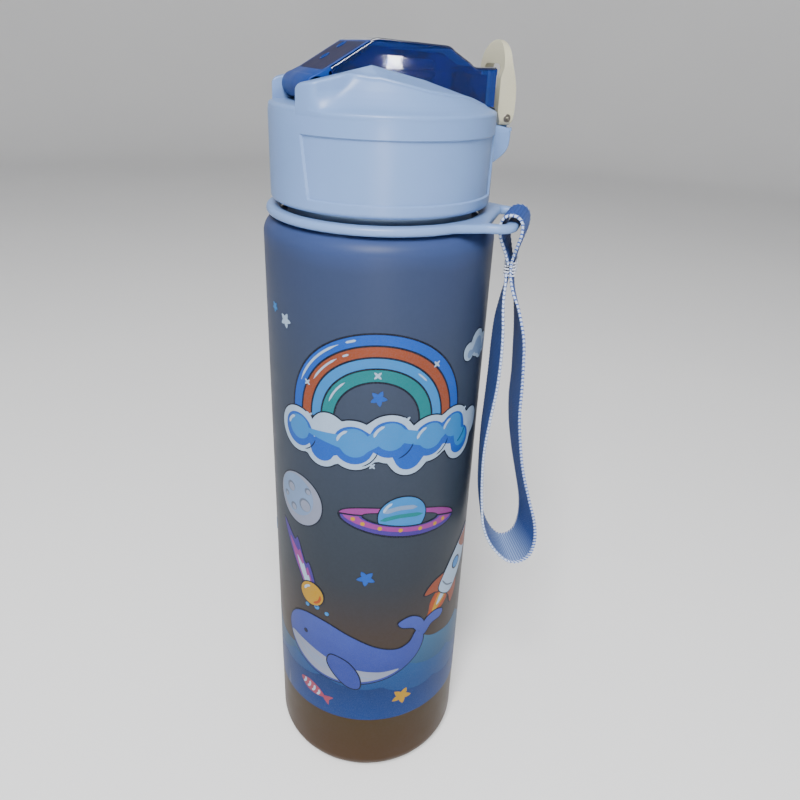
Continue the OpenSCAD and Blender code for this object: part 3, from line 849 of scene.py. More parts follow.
def rocket():
    """A plain rocket with two fins and a flame, flying up and away."""
    x, y, lean = 33.0, 88.0, -38.0
    body = spline([(0, 17.5), (3.0, 13.0), (5.0, 6.0), (5.2, -2.0), (3.6, -8.0), (-3.6, -8.0), (-5.2, -2.0),
                   (-5.0, 6.0), (-3.0, 13.0)], 7)
    fin = spline([(3.8, -1.0), (8.6, -5.5), (9.2, -11.5), (5.4, -9.2), (3.0, -8.0)], 6)
    flame = spline([(-3.2, -8.6), (3.2, -8.6), (3.6, -13.0), (1.2, -17.0), (0, -22.0), (-1.6, -17.0),
                    (-3.8, -13.0)], 7)
    spark = spline([(-1.9, -8.8), (1.9, -8.8), (1.9, -12.0), (0, -17.0), (-1.9, -12.0)], 7)
    core = spline([(-1.0, -9.0), (1.0, -9.0), (0.9, -11.4), (0, -13.6), (-0.9, -11.4)], 7)
    nose = spline([(0, 17.0), (2.6, 13.2), (3.7, 9.8), (0, 9.0), (-3.7, 9.8), (-2.6, 13.2)], 6)

    def put(loop):
        return rotated(loop, x, y, lean)

    mirrored = [(-px, py) for px, py in fin]
    shapes = [("rust", 0, put(grown(flame, 0.4))), ("orange", 1, put(flame)), ("gold", 2, put(spark)),
              ("white", 3, put(core))]
    for side in (fin, mirrored):
        shapes += [("navy", 3, put(grown(side, 0.45))), ("rust", 4, put(side))]
    shapes += [("navy", 5, put(grown(body, 0.45))), ("white", 6, put(body)), ("rust", 7, put(nose)),
               ("navy", 7, put(circle(0, 3.0, 2.7, steps=32))),
               ("sky", 8, put(circle(0, 3.0, 2.1, steps=32))),
               ("grey", 7, put(stroke([(-4.4, -4.6), (0, -5.6), (4.4, -4.6)], 0.6)))]
    return shapes


def whale():
    """A plain round whale with raised flukes, a pale grooved belly and a dot for an eye."""
    body = spline([(-33.8, 60.0), (-34.2, 66.0), (-31.0, 71.4), (-24.5, 74.2), (-16.0, 73.4), (-7.0, 69.4),
                   (2.0, 65.0), (9.0, 63.4), (13.6, 65.4), (16.0, 69.6), (18.6, 69.0), (19.0, 63.6),
                   (15.8, 57.4), (8.4, 51.6), (-1.0, 48.2), (-12.0, 47.0), (-22.0, 48.8), (-30.0, 53.6)], 6)
    flukes = [spline([(17.6, 67.0), (15.0, 71.4), (10.4, 73.2), (9.2, 75.6), (13.6, 77.2), (17.8, 74.8),
                      (19.4, 70.6)], 6),
              spline([(17.4, 68.4), (19.6, 73.0), (23.8, 75.0), (28.0, 73.4), (27.0, 70.8), (22.6, 70.2),
                      (19.6, 66.8)], 6)]
    belly = spline([(-33.6, 60.6), (-27.0, 60.4), (-17.0, 57.4), (-7.0, 54.6), (3.0, 53.4), (10.0, 53.8),
                    (4.6, 50.8), (-3.0, 48.8), (-12.0, 47.8), (-21.6, 49.6), (-29.2, 54.2)], 6)
    paddle = spline([(-14.6, 59.4), (-8.6, 57.4), (-4.6, 51.4), (-4.4, 45.6), (-8.6, 45.8), (-13.4, 50.4),
                     (-16.2, 55.6)], 6)
    shapes = []
    for shape in flukes + [body]:
        shapes += [("navy", 3, grown(shape, 0.5)), ("whale", 5, shape)]
    shapes.append(("belly", 6, belly))
    for k in range(4):
        groove = [(-29.0 + 3.4 * k, 58.8 - 0.9 * k), (-24.6 + 4.6 * k, 55.0 - 0.9 * k),
                  (-17.0 + 5.8 * k, 51.6 - 0.4 * k)]
        shapes.append(("pearl", 7, stroke(groove, 0.35)))
    shapes += [("navy", 8, grown(paddle, 0.5)), ("whale", 9, paddle)]
    shapes.append(("navy", 8, circle(-25.6, 65.4, 0.95, steps=20)))
    for x, y, size in ((-20.4, 79.0, 1.0), (-24.6, 78.2, 0.8), (-16.4, 77.6, 0.8)):
        shapes.append(("sky", 4, circle(x, y, size, steps=16)))
    return shapes


def crest(base, swell, ripple, phase, count=200):
    """Top edge of one band of water, all round the bottle."""
    half = math.pi * BODY_R
    points = []
    for i in range(count + 1):
        s = -half + 2 * half * i / count
        a = s / BODY_R
        scallop = abs(math.sin(5 * a + phase))
        points.append((s, base + swell * math.sin(2 * a + phase) + ripple * (1 - scallop) ** 1.6))
    return points


def waves():
    half = math.pi * BODY_R
    bottom = 29.0
    low = [(half - 2 * half * i / 60, bottom) for i in range(61)]
    return [("wave_pale", 0, crest(59.0, 4.5, 4.2, 0.6) + low),
            ("wave_mid", 1, crest(50.5, 4.0, 3.4, 1.5) + low),
            ("wave_deep", 2, crest(42.5, 3.0, 2.4, 2.6) + low)]


def sea_life():
    shapes = [("gold", 4, star(11.6, 39.4, 4.0, tilt=8))]
    x, y, lean = -23.0, 38.6, -22.0
    body = spline([(-6.0, 0), (-2.5, 2.6), (2.0, 2.4), (5.6, 0.3), (2.0, -2.0), (-2.5, -2.3)], 6)
    tail = spline([(5.0, 0.3), (8.6, 2.5), (7.8, 0.2), (8.4, -2.2)], 5)
    shapes += [("rose", 4, rotated(body, x, y, lean)), ("rose", 4, rotated(tail, x, y, lean))]
    for k in range(4):
        stripe = [(-4.2 + 2.3 * k, 1.9 - 0.2 * abs(k - 1.5)), (-3.7 + 2.3 * k, 0),
                  (-4.2 + 2.3 * k, -1.7 + 0.2 * abs(k - 1.5))]
        shapes.append(("white", 5, rotated(stroke(stripe, 0.9), x, y, lean)))
    return shapes


def sky_pieces():
    """Stars and small clouds, on both sides of the bottle."""
    shapes = []
    for x, y, r, colour, tilt in ((-0.2, 162.6, 2.6, "blue", 10), (-2.7, 96.2, 3.2, "blue", -6),
                                  (-31.4, 181.2, 2.4, "white", 14), (-37.6, 183.6, 1.6, "sky", 0),
                                  (62.0, 168.0, 3.2, "gold", 12), (-64.0, 152.0, 3.0, "white", -8),
                                  (84.0, 118.0, 2.8, "blue", 5), (-88.0, 104.0, 3.4, "gold", 18),
                                  (104.0, 176.0, 2.4, "white", 0), (-52.0, 96.0, 2.6, "sky", 22)):
        shapes.append((colour, 3, star(x, y, r, tilt=tilt)))
    for x, y, size in ((36.2, 172.4, 0.8), (-72.0, 176.0, 1.0), (92.0, 146.0, 1.1), (-98.0, 132.0, 0.9)):
        balls = [(x - 6.5 * size, y, 3.6 * size), (x, y + 1.8 * size, 5.4 * size),
                 (x + 6.6 * size, y, 4.0 * size), (x + 2.6 * size, y - 1.4 * size, 3.8 * size)]
        shapes += [("navy", 2, puffs(balls, 0.35, 50)), ("white", 3, puffs(balls, 0, 50)),
                   ("pearl", 4, puffs([(bx + 0.5, by - 0.9, br - 1.5) for bx, by, br in balls], 0, 40))]
    shapes.append(("gold", 1, star(80.0, 176.0, 4.2)))
    return shapes


for piece_name, drawing in (("print_rainbow", rainbow), ("print_cloud_bank", cloud_bank),
                            ("print_planet", ringed_planet), ("print_moon_comet", moon_and_comet),
                            ("print_rocket", rocket), ("print_waves", waves), ("print_whale", whale),
                            ("print_sea_life", sea_life), ("print_sky", sky_pieces)):
    printed(piece_name, drawing())

# ---------------------------------------------------------------- cap

CAP_R, SKIRT_IN = 32.4, 30.0
DECK_LOW, DECK_TOP = NECK_Z + 1.6, NECK_Z + 4.4
CREASE_Z = SHOULDER_Z + 29.8
SHELF_Z, RIM_Z = SHOULDER_Z + 30.6, SHOULDER_Z + 31.7
PANEL_LOW, PANEL_HIGH, PANEL_DEPTH = SHOULDER_Z + 8, SHOULDER_Z + 24, 0.55
CHEEK_IN = 14.9
TRAY_R = 29.4
HINGE = (-22.5, SHOULDER_Z + 34.6)
PIVOT = (35.9, SHOULDER_Z + 27.7)
SCOOP = [(CAP_R, CREASE_Z - 1.4), (32.38, CREASE_Z - 0.5), (32.2, CREASE_Z - 0.05), (31.7, CREASE_Z + 0.3),
         (30.9, CREASE_Z + 0.65), (30.0, CREASE_Z + 1.15), (28.9, CREASE_Z + 1.95), (27.5, CREASE_Z + 3.3),
         (26.1, CREASE_Z + 5), (24.7, CREASE_Z + 7), (23.2, CREASE_Z + 9.1), (21.6, CREASE_Z + 11),
         (19.5, CREASE_Z + 13.4)]


def step(a, b, x):
    """Smooth 0 to 1 as x goes from a to b."""
    t = min(1.0, max(0.0, (x - a) / (b - a)))
    return t * t * (3 - 2 * t)


def scoop_r(z):
    return float(np.interp(z, [p[1] for p in SCOOP], [p[0] for p in SCOOP]))


def roof(x):
    """Ridge line of a cheek: ear, peak and the long fall to the front rim."""
    line = float(np.interp(x, [-29, -9.9, -8.7, -7.5, 6, 16, 25, 40],
                           [PEAK_Z - 4.9, PEAK_Z - 0.3, PEAK_Z, PEAK_Z - 0.2, PEAK_Z - 3.1, PEAK_Z - 6.0,
                            RIM_Z, RIM_Z]))
    back = x + 28.7
    if back < 1.6:
        line -= 1.6 - math.sqrt(max(0.0, 1.6 ** 2 - (1.6 - max(back, 0)) ** 2))
    return line


def cheek_side(x, z):
    """Outer face of a cheek: the scoop, filled out towards the flat ear at the hinge."""
    wall_y = math.sqrt(max(0.0, CAP_R ** 2 - x * x))
    scoop = math.sqrt(max(0.0, scoop_r(z) ** 2 - x * x))
    flat = 20.0
    fall = min(1.0, max(0.0, (z - CREASE_Z + 1) / 6.5))
    near = 1.6
    ear = min(wall_y, flat + max(0.0, wall_y - flat) * (1 - fall) ** 2)
    gap = abs(wall_y - flat)
    if gap < near and z > CREASE_Z:
        ear -= (near - gap) ** 2 / (4 * near)
    share = 1 - step(-18.5, -8.5, x)
    lead = ear - scoop
    soft = 1.4
    lift = lead if lead > soft else (0.0 if lead < -soft else (lead + soft) ** 2 / (4 * soft))
    return min(wall_y, scoop + share * lift)


def cheek(side):
    """One cheek as sections across X."""
    low = CREASE_Z - 1.3
    stations = ([-28.74, -28.6, -28.4, -28.1, -27.7, -27.2] + list(np.linspace(-26.7, 27.6, 110))
                + [28.0, 28.4, 28.7])
    rings = []
    for x in stations:
        top = roof(x)
        while cheek_side(x, top) < CHEEK_IN + 0.06 and top > low + 0.05:
            top -= 0.02
        width = max(0.02, cheek_side(x, top) - CHEEK_IN)
        drop = 2.3 * step(-17, -8, x) * (1 - step(3, 21, x))
        outer_top = top - min(drop, 0.45 * width)
        width = max(0.02, cheek_side(x, outer_top) - CHEEK_IN)
        r_in, r_out = min(0.45, width * 0.3), min(0.8, width * 0.4)
        ring = [(CHEEK_IN, low), (CHEEK_IN, (low + top) / 2), (CHEEK_IN, top - r_in)]
        for a in (25, 50, 75, 90):
            ring.append((CHEEK_IN + r_in * (1 - cosd(a)),
                         top - r_in * (1 - sind(a))))
        for t in (0.33, 0.66):
            ring.append((CHEEK_IN + r_in + (width - r_in - r_out) * t, top + (outer_top - top) * t))
        for a in (90, 70, 50, 30, 10):
            ring.append((CHEEK_IN + width - r_out * (1 - cosd(a)),
                         outer_top - r_out * (1 - sind(a))))
        start = outer_top - r_out
        for t in np.linspace(0.04, 1, 30):
            z = start + (low - start) * t
            ring.append((max(CHEEK_IN + 0.01, cheek_side(x, z)), z))
        rings.append([(x, side * y, z) for y, z in ring])
    verts, faces = loft(rings)
    if side > 0:
        faces = [f[::-1] for f in faces]
    return verts, faces


def panel_depth(z, angle):
    """How far the grip panels sink into the skirt there."""
    middle = abs(math.degrees(angle) % 180 - 90)
    half = 55.5 + 4.0 * (z - PANEL_LOW) / (PANEL_HIGH - PANEL_LOW)
    ends = 1 - step(half - 0.35, half + 0.35, middle)
    return PANEL_DEPTH * ends * step(PANEL_LOW - 0.18, PANEL_LOW + 0.18, z) * (
        1 - step(PANEL_HIGH - 0.18, PANEL_HIGH + 0.18, z))


def skirt():
    """Skirt, deck and front rim, turned in one piece."""
    edge = 1.3
    rows = sorted(set([SKIRT_Z + edge + 0.02, PANEL_LOW - 0.6, PANEL_HIGH + 0.6, CREASE_Z - 1.5]
                      + [PANEL_LOW + d for d in (-0.2, -0.1, 0, 0.1, 0.2, 0.5)]
                      + [PANEL_HIGH + d for d in (-0.5, -0.2, -0.1, 0, 0.1, 0.2)]
                      + list(np.linspace(PANEL_LOW + 1, PANEL_HIGH - 1, 8))))
    profile = ([(0, DECK_LOW), (12, DECK_LOW), (SKIRT_IN - 0.6, DECK_LOW)]
               + [(SKIRT_IN, DECK_LOW - 0.6), (SKIRT_IN, SKIRT_Z + 4), (SKIRT_IN, SKIRT_Z + 0.4),
                  (SKIRT_IN + 0.4, SKIRT_Z)]
               + arc((CAP_R - edge, SKIRT_Z + edge), edge, -90, 0, 8)
               + [(CAP_R, z) for z in rows]
               + SCOOP[1:6]
               + [(29.75, CREASE_Z + 1.3), (TRAY_R + 0.12, CREASE_Z + 1.36), (TRAY_R, CREASE_Z + 1.2)]
               + [(TRAY_R, DECK_TOP + 0.4), (TRAY_R - 0.4, DECK_TOP), (14, DECK_TOP), (0, DECK_TOP)])

    def shape(r, z, angle):
        x, y = r * math.cos(angle), r * math.sin(angle)
        if r > 31 and SKIRT_Z + 2 < z < CREASE_Z - 1:
            r -= panel_depth(z, angle)
        if z > CREASE_Z - 0.6 and (abs(y) > CHEEK_IN + 0.35 or x < -10):
            z, r = CREASE_Z - 0.6, min(r, CAP_R - 0.12)
        return r, z

    return revolve(profile, 720, shape)


def flat_along_y(outline, half, edge, steps=4):
    """A plate drawn in X and Z, centred on Y, with round edges."""
    verts, faces = plate(outline, (), -half, half, edge, steps)
    return [(x, -h, z) for x, z, h in verts], faces


def shelf():
    """Ledge behind the hinge, between the cheeks, with a rounded back lip."""
    back = 32.25
    span = math.degrees(math.asin(CHEEK_IN / back))
    outline = arc((0, 0), back, 180 - span, 180 + span, 24) + [(-18, -CHEEK_IN), (-18, CHEEK_IN)]
    return plate(outline, (), DECK_TOP - 0.6, SHELF_Z, 0.9, 4)


def lug():
    """Foot and eye that carry the latch."""
    foot_top = PIVOT[1] - 2.8
    z = SHOULDER_Z
    foot = spline([(30.5, foot_top), (30.5, z + 14.3), (31.8, z + 14.4), (33.6, z + 15.4), (36.3, z + 17.4),
                   (37.6, z + 19.2), (38.05, z + 21), (38.1, foot_top - 0.6), (37.7, foot_top)], 5)
    eye = ([(30.5, foot_top - 1), (37.3, foot_top - 1)] + arc(PIVOT, 2.1, -20, 150, 12)
           + [(32.2, PIVOT[1] + 0.5), (30.5, PIVOT[1] + 0.5)])
    return [flat_along_y(foot, 7.2, 0.7), flat_along_y(eye, 5.2, 0.25, 2)]


def cap():
    """The screw cap, its thread and the plastic that the ring and the spout share."""
    blue = plastic("cap_plastic", "#6783b1", 0.34, spread=0.05, grain=0.02, subsurface=0.05)
    verts, faces = joined([skirt(), cheek(-1), cheek(1), shelf()] + lug())
    part("cap_body", verts, faces, "cap", blue, "cap_plastic", "cap_shell", sharp=32)
    thread(30.1, 28.1, SHOULDER_Z + 7.6, "cap_thread", "cap", blue, "cap_plastic")
    return blue


cap_blue = cap()

# ---------------------------------------------------------------- ring


def ring_outline():
    """Ring and tab in one outline: a circle that runs out into the tab."""
    ring_out, half, corner, reach = 33.9, 15.5, 6.5, 43.0
    start = math.degrees(math.asin((half + 4.5) / ring_out))
    body = arc((0, 0), ring_out, start, 360 - start, 90)
    low = [(33.0, -half - 1.6), (35.0, -half - 0.35)]
    tab = (arc((reach - corner, -half + corner), corner, -90, 0, 12)
           + arc((reach - corner, half - corner), corner, 0, 90, 12))
    high = [(35.0, half + 0.35), (33.0, half + 1.6)]
    return rotated(body + low + tab + high, 0, 0, TAB_AZ)


def ring():
    """Carry ring with a full round edge, a round bore and the strap's slot."""
    slot_in, slot_out, slot_half, corner = 35.0, 39.4, 12.0, 1.2
    slot = (arc((slot_in + corner, -slot_half + corner), corner, 180, 270, 5)
            + arc((slot_out - corner, -slot_half + corner), corner, 270, 360, 5)
            + arc((slot_out - corner, slot_half - corner), corner, 0, 90, 5)
            + arc((slot_in + corner, slot_half - corner), corner, 90, 180, 5))
    bore = circle(0, 0, 29.9, steps=120)
    verts, faces = plate(ring_outline(), [bore, rotated(slot, 0, 0, TAB_AZ)], RING_LOW, RING_HIGH, 1.1, 5)
    part("carry_ring_body", verts, faces, "ring", cap_blue, "cap_plastic", "carry_ring", sharp=50)


ring()

# ---------------------------------------------------------------- cover


def tinted(name, code, roughness=0.04):
    """Clear tinted plastic: deep colour, faint flow waves and hairline scratches."""
    material, tree, shader = new_material(name)
    flow = noise(tree, 90.0, 2.0)
    tone = add(tree, "ShaderNodeHueSaturation",
               {"Value": scaled(tree, flow, 0.3, 0.85), "Color": srgb(code)}).outputs[0]
    scratch = add(tree, "ShaderNodeTexWave", {"Scale": 160.0, "Distortion": 14.0, "Detail": 3.0}).outputs[1]
    fine = scaled(tree, maths(tree, "GREATER_THAN", scratch, 0.985), 0.12, roughness)
    finish(tree, shader, tone, fine, {"Transmission Weight": 0.94, "IOR": 1.5})
    bumped(tree, shader, noise(tree, 240.0, 2.0), 0.10, 0.0001)
    return material


COVER_HALF, COVER_WALL, FRONT_R = 14.3, 1.8, 31.3
SPOUT_X = 8.5                    # the spout's upright axis


def cover_top(x, offset=0.0):
    """Height of the cover's outer face along X, or of its inner face at an offset."""
    z = SHOULDER_Z
    line = ([(-26.0, z + 35.9), (-24.0, z + 37.1)] + arc((-6.3, z + 43), 4, 120, 92, 6)
            + arc((12.4, z + 42), 4, 86, 45, 8) + arc((22.4, z + 43.8), 2.8, 222, 270, 6)
            + [(30.2, z + 41), (32, z + 41)])
    p = np.array(line)
    if offset:
        d = np.gradient(p, axis=0)
        d /= np.linalg.norm(d, axis=1, keepdims=True)
        p = p + np.stack([d[:, 1], -d[:, 0]], 1) * offset
    return float(np.interp(x, p[:, 0], p[:, 1]))


def cover_rings(back, front_r, half, offset, bottom, edge):
    """Arch-shaped sections from the hinge to the rounded front."""
    turn_x = math.sqrt(front_r ** 2 - half ** 2)
    stations = list(np.linspace(back, turn_x, 84)) + [
        front_r * cosd(a) for a in
        np.linspace(math.degrees(math.acos(turn_x / front_r)), 0.5, 22)[1:]]
    rings = []
    for x in stations:
        wide = min(half, math.sqrt(max(0.0, front_r ** 2 - x * x)))
        top = cover_top(x, offset)
        front = front_r - x
        if front < edge:
            top -= edge - math.sqrt(max(0.0, edge ** 2 - (edge - front) ** 2))
        r = min(edge, wide * 0.45)
        side = [(wide, bottom + (top - r - bottom) * t) for t in (0, 0.2, 0.5, 0.8, 1)]
        bend = [(wide - r * (1 - cosd(a)), top - r * (1 - sind(a)))
                for a in (18, 36, 54, 72, 90)]
        crown = [((wide - r) * t, top) for t in (0.66, 0.33, 0.0)]
        half_ring = side + bend + crown
        rings.append([(x, y, z) for y, z in half_ring] + [(x, -y, z) for y, z in half_ring[-2::-1]])
    return rings


def cover_skins():
    """The cover's outer and inner skin, joined at the rim and at the back."""
    outer = cover_rings(-19.6, FRONT_R, COVER_HALF, 0.0, COVER_Z, 1.0)
    inner = cover_rings(-17.6, FRONT_R - COVER_WALL, COVER_HALF - COVER_WALL, COVER_WALL, COVER_Z, 0.6)
    n = len(outer[0])
    verts = [p for r in outer + inner for p in r]
    base = len(outer) * n
    faces = []
    for i in range(len(outer) - 1):
        for k in range(n - 1):
            a, b = i * n + k, (i + 1) * n + k
            faces.append((a, b, b + 1, a + 1))
    for i in range(len(inner) - 1):
        for k in range(n - 1):
            a, b = base + i * n + k, base + (i + 1) * n + k
            faces.append((a + 1, b + 1, b, a))
    for i in range(len(outer) - 1):
        for k, flip in ((0, False), (n - 1, True)):
            quad = (i * n + k, base + i * n + k, base + (i + 1) * n + k, (i + 1) * n + k)
            faces.append(quad[::-1] if flip else quad)
    last = (len(outer) - 1) * n
    faces.append(tuple(last + k for k in range(n)))
    faces.append(tuple(base + last + k for k in range(n - 1, -1, -1)))
    for k in range(n - 1):
        faces.append((k, k + 1, base + k + 1, base + k))
    faces.append((0, base, base + n - 1, n - 1))
    return verts, faces


def cover_boss():
    """Socket under the cover that holds the spout's plug."""
    z = SHOULDER_Z
    verts, faces = revolve([(3.2, z + 42.4), (5.0, z + 42.4), (5.0, z + 44.9), (3.2, z + 44.9)], 40)
    return [(x + SPOUT_X, y, h) for x, y, h in verts], faces


def cover_tongue():
    """Tongue at the front that the latch holds."""
    z = SHOULDER_Z
    line = [(29.7, z + 38.2), (32.4, z + 38.2), (33.1, z + 39.0), (33.1, z + 40.4), (32.5, z + 41.0),
            (29.7, z + 41.0)]
    return flat_along_y(resample(line, 1.0), 4.7, 0.4, 3)


def cover_knuckle():
    """Hinge barrel, and the wedge that joins it to the slope."""
    barrel = flat_along_y(arc(HINGE, 3.5, 0, 360, 40)[:-1], COVER_HALF, 0.5, 3)
    wedge = flat_along_y([(-25.6, HINGE[1] + 1.4), (-24.6, HINGE[1] + 2.75), (-19.0, cover_top(-19.0)),
                          (-17.6, COVER_Z + 5.6), (-17.7, COVER_Z + 0.1), (-20.4, COVER_Z + 0.1)],
                         COVER_HALF, 0.45, 3)
    return joined([barrel, wedge])


def gate_marks():
    """Two small moulded rings on the slope."""
    marks = []
    slope = math.atan2(cover_top(-11) - cover_top(-21), 10)
    c, s = math.cos(slope), math.sin(slope)
    for x, y in ((-10.9, 4.5), (-15.9, 3.6)):
        verts, faces = revolve([(1.0, -0.1), (1.5, -0.1), (1.6, 0.34), (1.15, 0.42), (0.9, 0.24)], 36)
        marks.append(([(x + px * c - pz * s, y + py, cover_top(x) + px * s + pz * c) for px, py, pz in verts],
                      faces))
    return joined(marks)


def cover():
    """The clear flip cover, with an opaque barrel, slope and marks at its hinge."""
    clear = tinted("clear_blue", "#1c48ae")
    deep = plastic("cover_blue", "#0f3377", 0.4, spread=0.08, grain=0.02, specular=0.1)
    matt = plastic("cover_matt", "#20203a", 0.62, spread=0.08, grain=0.05)
    verts, faces = joined([cover_skins(), cover_boss(), cover_tongue()])
    part("cover_shell", verts, faces, "cover", clear, "clear_blue", "flip_cover", sharp=40)
    part("cover_hinge_barrel", *cover_knuckle(), "cover", deep, "clear_blue", sharp=40)
    sink = 0.04                  # how far the strips are let into the slope
    for name, half, start, end, rise, paint in (("cover_slope_rim", 14.25, -24.4, -8.6, 0.16, deep),
                                                ("cover_slope_pad", 12.4, -23.0, -9.4, 0.26, matt)):
        outline = resample([(start, -half), (end, -half), (end, half), (start, half)], 1.0)
        flat, faces = plate(outline, (), 0.0, rise, 0.08, 2)
        verts = [(x, y, cover_top(x) - sink + h) for x, y, h in flat]
        part(name, verts, faces, "cover", paint, "clear_blue", sharp=40)
    part("cover_gate_marks", *gate_marks(), "cover", deep, "clear_blue", sharp=40)


cover()

# ---------------------------------------------------------------- latch


def latch():
    """Off-white latch: an arched plate with a window, bent to its S-shaped side."""
    z = SHOULDER_Z
    half, arch_z = 7.8, z + 40.4
    low = PIVOT[1] - 2.1
    outline = resample([(-half, low + 2.2)] + arc((-half + 2.2, low + 2.2), 2.2, 180, 270, 5)[1:]
                       + [(-5.5, low), (-5.5, PIVOT[1] + 2.6), (5.5, PIVOT[1] + 2.6), (5.5, low)]
                       + arc((half - 2.2, low + 2.2), 2.2, 270, 360, 5)
                       + arc((0, arch_z), half, 0, 180, 28), 1.0)
    window = resample(arc((-4.2, z + 35.6), 1, 180, 270, 4) + arc((4.2, z + 35.6), 1, 270, 360, 4)
                      + arc((3.2, z + 40), 2, 0, 90, 6) + arc((-3.2, z + 40), 2, 90, 180, 6), 1.0)
    verts, faces = plate(outline, [window], 0.0, 1.0, 0.0, cut=(0, 0.8))
    face_in = [(low - 1, 34.4), (PIVOT[1] - 1.4, 33.7), (PIVOT[1] + 1.6, 32.7), (z + 38.5, 32.7),
               (z + 40.6, 33.5), (z + 45, 33.8), (z + 47.2, 34.2), (z + 48.4, 34.6)]
    face_out = [(low - 1, 36.9), (PIVOT[1] - 1.4, 37.6), (PIVOT[1] + 1, 38.0), (z + 33, 38.1), (z + 36, 37.9),
                (z + 38.8, 37.2), (z + 41, 36.5), (z + 42.8, 36.1), (z + 45, 36.1), (z + 47.2, 35.9),
                (z + 48.4, 35.5)]

    def surface(line, h):
        return float(np.interp(h, [p[0] for p in line], [p[1] for p in line]))

    bent = []
    for y, h, t in verts:
        x_in, x_out = surface(face_in, h), surface(face_out, h)
        bent.append((x_in + (x_out - x_in) * t, y, h))
    cream = plastic("latch_white", "#a5a28d", 0.38, spread=0.04, grain=0.015, subsurface=0.08)
    faces = [f[::-1] for f in faces]
    piece = part("latch_body", bent, faces, "latch", cream, "latch_white", "latch", sharp=30)
    soften = piece.modifiers.new("round", "BEVEL")
    soften.width, soften.segments, soften.limit_method = 0.5 * MM, 3, "ANGLE"
    soften.angle_limit = math.radians(50)
    soften.harden_normals = False


latch()

# ---------------------------------------------------------------- pins and silicone parts


def steel():
    """Brushed, slightly tarnished steel."""
    material, tree, shader = new_material("steel_pin")
    streak = noise(tree, 600.0, 4.0, 0.7)
    base = ramp(tree, streak, [(0.3, "#5d5954"), (0.6, "#77726b"), (0.8, "#8e8981")])
    finish(tree, shader, base, scaled(tree, streak, 0.25, 0.3), {"Metallic": 0.9})
    bumped(tree, shader, streak, 0.2, 0.00003)
    return material


def pin(name, node, at, radius, y0, y1, body, material):
    """A pin along Y with chamfered ends that are slightly dished."""
    length = y1 - y0
    profile = [(0, 0.18), (radius * 0.55, 0.12), (radius * 0.62, 0.0), (radius - 0.2, 0.0), (radius, 0.2)]
    rows = profile + [(radius, length * t) for t in (0.25, 0.5, 0.75)]
    rows += [(r, length - z) for r, z in reversed(profile)]
    verts, faces = revolve(rows, 40)
    verts = [(at[0] + x, y0 + z, at[1] - y) for x, y, z in verts]
    part(name, verts, faces, body, material, "steel_pin", node)


def turned_part(name, node, profile, x, body, material, slot):
    """A part turned about an upright axis at x."""
    verts, faces = revolve(profile, 96)
    part(name, [(px + x, py, pz) for px, py, pz in verts], faces, body, material, slot, node, sharp=40)


def small_parts():
    z = SHOULDER_Z
    metal = steel()
    pin("hinge_pin_rod", "hinge_pin", HINGE, 1.25, -17.9, 19.6, "cap", metal)
    pin("latch_pin_rod", "latch_pin", PIVOT, 1.2, -7.95, 7.95, "cap", metal)
    rubber = plastic("silicone", "#c9ced2", 0.6, spread=0.04, grain=0.03, subsurface=0.25)
    seat = DECK_TOP + 0.05
    top = z + 39.6
    turned_part("spout_tube", "spout",
                [(4.2, DECK_LOW - 0.6), (6.1, DECK_LOW - 0.6), (6.5, DECK_LOW - 0.2), (6.5, seat),
                 (8.4, seat)]
                + [(8.8, seat + 0.3), (8.8, DECK_TOP + 1.0), (8.5, DECK_TOP + 1.35), (6.9, DECK_TOP + 1.9),
                   (6.5, DECK_TOP + 2.6), (5.9, top - 3.6), (5.8, top - 2.6)]
                + arc((6.1, top - 1.3), 0.9, -90, 90, 10) + [(4.6, top), (4.2, top - 0.4)],
                SPOUT_X, "cap", cap_blue, "cap_plastic")
    turned_part("spout_seal_ring", "spout_seal",
                [(7.7 + 0.7 * math.cos(a), DECK_TOP + 0.02 + 0.7 * math.sin(a))
                 for a in np.linspace(0, math.pi, 12)], SPOUT_X, "cap", rubber, "silicone")
    turned_part("vent_valve_body", "vent_valve",
                [(0.5, DECK_LOW - 1.5), (2.2, DECK_LOW - 1.3), (2.4, DECK_LOW - 1.1), (2.9, DECK_LOW - 0.05),
                 (1.9, DECK_LOW - 0.05), (1.9, DECK_TOP + 0.05), (3.0, DECK_TOP + 0.05)]
                + arc((2.4, DECK_TOP + 0.3), 0.8, 0, 90, 8) + [(0.5, DECK_TOP + 1.1)],
                -7, "cap", rubber, "silicone")
    turned_part("gasket_ring", "cap_gasket",
                [(25.6, NECK_Z + 0.4), (25.9, NECK_Z + 0.1), (28.9, NECK_Z + 0.1), (29.3, NECK_Z + 0.5),
                 (29.3, DECK_LOW - 0.5), (28.9, DECK_LOW - 0.1), (25.9, DECK_LOW - 0.1),
                 (25.6, DECK_LOW - 0.4)],
                0, "gasket", rubber, "silicone")
    turned_part("spout_plug_body", "spout_plug",
                [(0, top - 1.6), (2.4, top - 1.6), (2.9, top - 1.5), (3.5, top - 0.9), (3.5, top + 0.1),
                 (3.7, top + 0.3), (5.7, top + 0.3)] + arc((5.7, top + 1.4), 1.1, -90, 90, 10)
                + [(2.3, top + 2.5), (2.0, top + 2.8), (2.0, top + 4.9), (0, top + 5)],
                SPOUT_X, "cover", rubber, "silicone")


small_parts()

# ---------------------------------------------------------------- stage


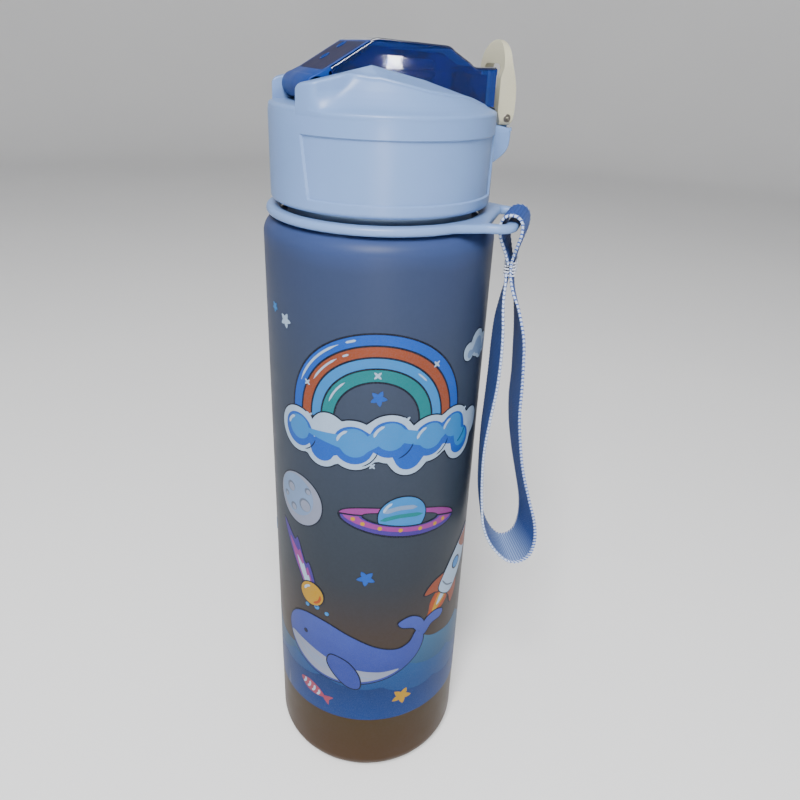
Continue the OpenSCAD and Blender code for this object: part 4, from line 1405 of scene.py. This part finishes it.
def stage():
    """Plain pale floor that curves up into a round backdrop."""
    material, tree, shader = new_material("paper")
    tone = noise(tree, 3.0, 2.0)
    finish(tree, shader, mix(tree, tone, (0.80, 0.80, 0.81, 1), (0.86, 0.86, 0.86, 1)), 0.9)
    floor_r, cove, wall_h, columns = 1.6, 0.5, 1.6, 96
    profile = ([(0.02, 0)] + [(r, 0) for r in np.linspace(0.1, floor_r, 12)]
               + [(floor_r + cove * math.sin(a), cove * (1 - math.cos(a)))
                  for a in np.linspace(0.1, math.pi / 2, 12)]
               + [(floor_r + cove, wall_h)])
    verts, faces = [], []
    for j in range(columns):
        a = 2 * math.pi * j / columns
        verts.extend((r * math.cos(a), r * math.sin(a), z) for r, z in profile)
    n = len(profile)
    for j in range(columns):
        for k in range(n - 1):
            a, b = j * n, ((j + 1) % columns) * n
            faces.append((a + k, b + k, b + k + 1, a + k + 1))
    faces.append(tuple(j * n for j in range(columns)))
    mesh = bpy.data.meshes.new("floor")
    mesh.from_pydata(verts, [], faces)
    mesh.materials.append(material)
    mesh.polygons.foreach_set("use_smooth", [True] * len(mesh.polygons))
    floor = bpy.data.objects.new("floor", mesh)
    bpy.context.collection.objects.link(floor)


def softbox(name, azimuth, elevation, distance, size, power):
    """A square area light that looks at the bottle's middle."""
    data = bpy.data.lights.new(name, "AREA")
    data.shape, data.size, data.energy = "SQUARE", size, power
    lamp = bpy.data.objects.new(name, data)
    a, e = math.radians(azimuth), math.radians(elevation)
    target = Vector((0, 0, 0.13))
    place = Vector((math.cos(a) * math.cos(e), math.sin(a) * math.cos(e), math.sin(e))) * distance
    lamp.location = target + place
    lamp.rotation_euler = place.to_track_quat("Z", "Y").to_euler()
    bpy.context.collection.objects.link(lamp)


def lights():
    """A soft key in front, a low fill, a small glint, a weak top light and a dim sky."""
    softbox("key", -116, 50, 1.2, 0.5, 33)
    softbox("flash", -107, 2, 0.7, 0.05, 1.5)
    softbox("glint", -70.8, 9.4, 0.693, 0.016, 0.08)
    softbox("top", -110, 85, 1.4, 1.0, 4)
    world = bpy.data.worlds.new("sky")
    world.use_nodes = True
    world.node_tree.nodes["Background"].inputs[0].default_value = (0.95, 0.97, 1.0, 1)
    world.node_tree.nodes["Background"].inputs[1].default_value = 0.06
    bpy.context.scene.world = world


stage()
lights()
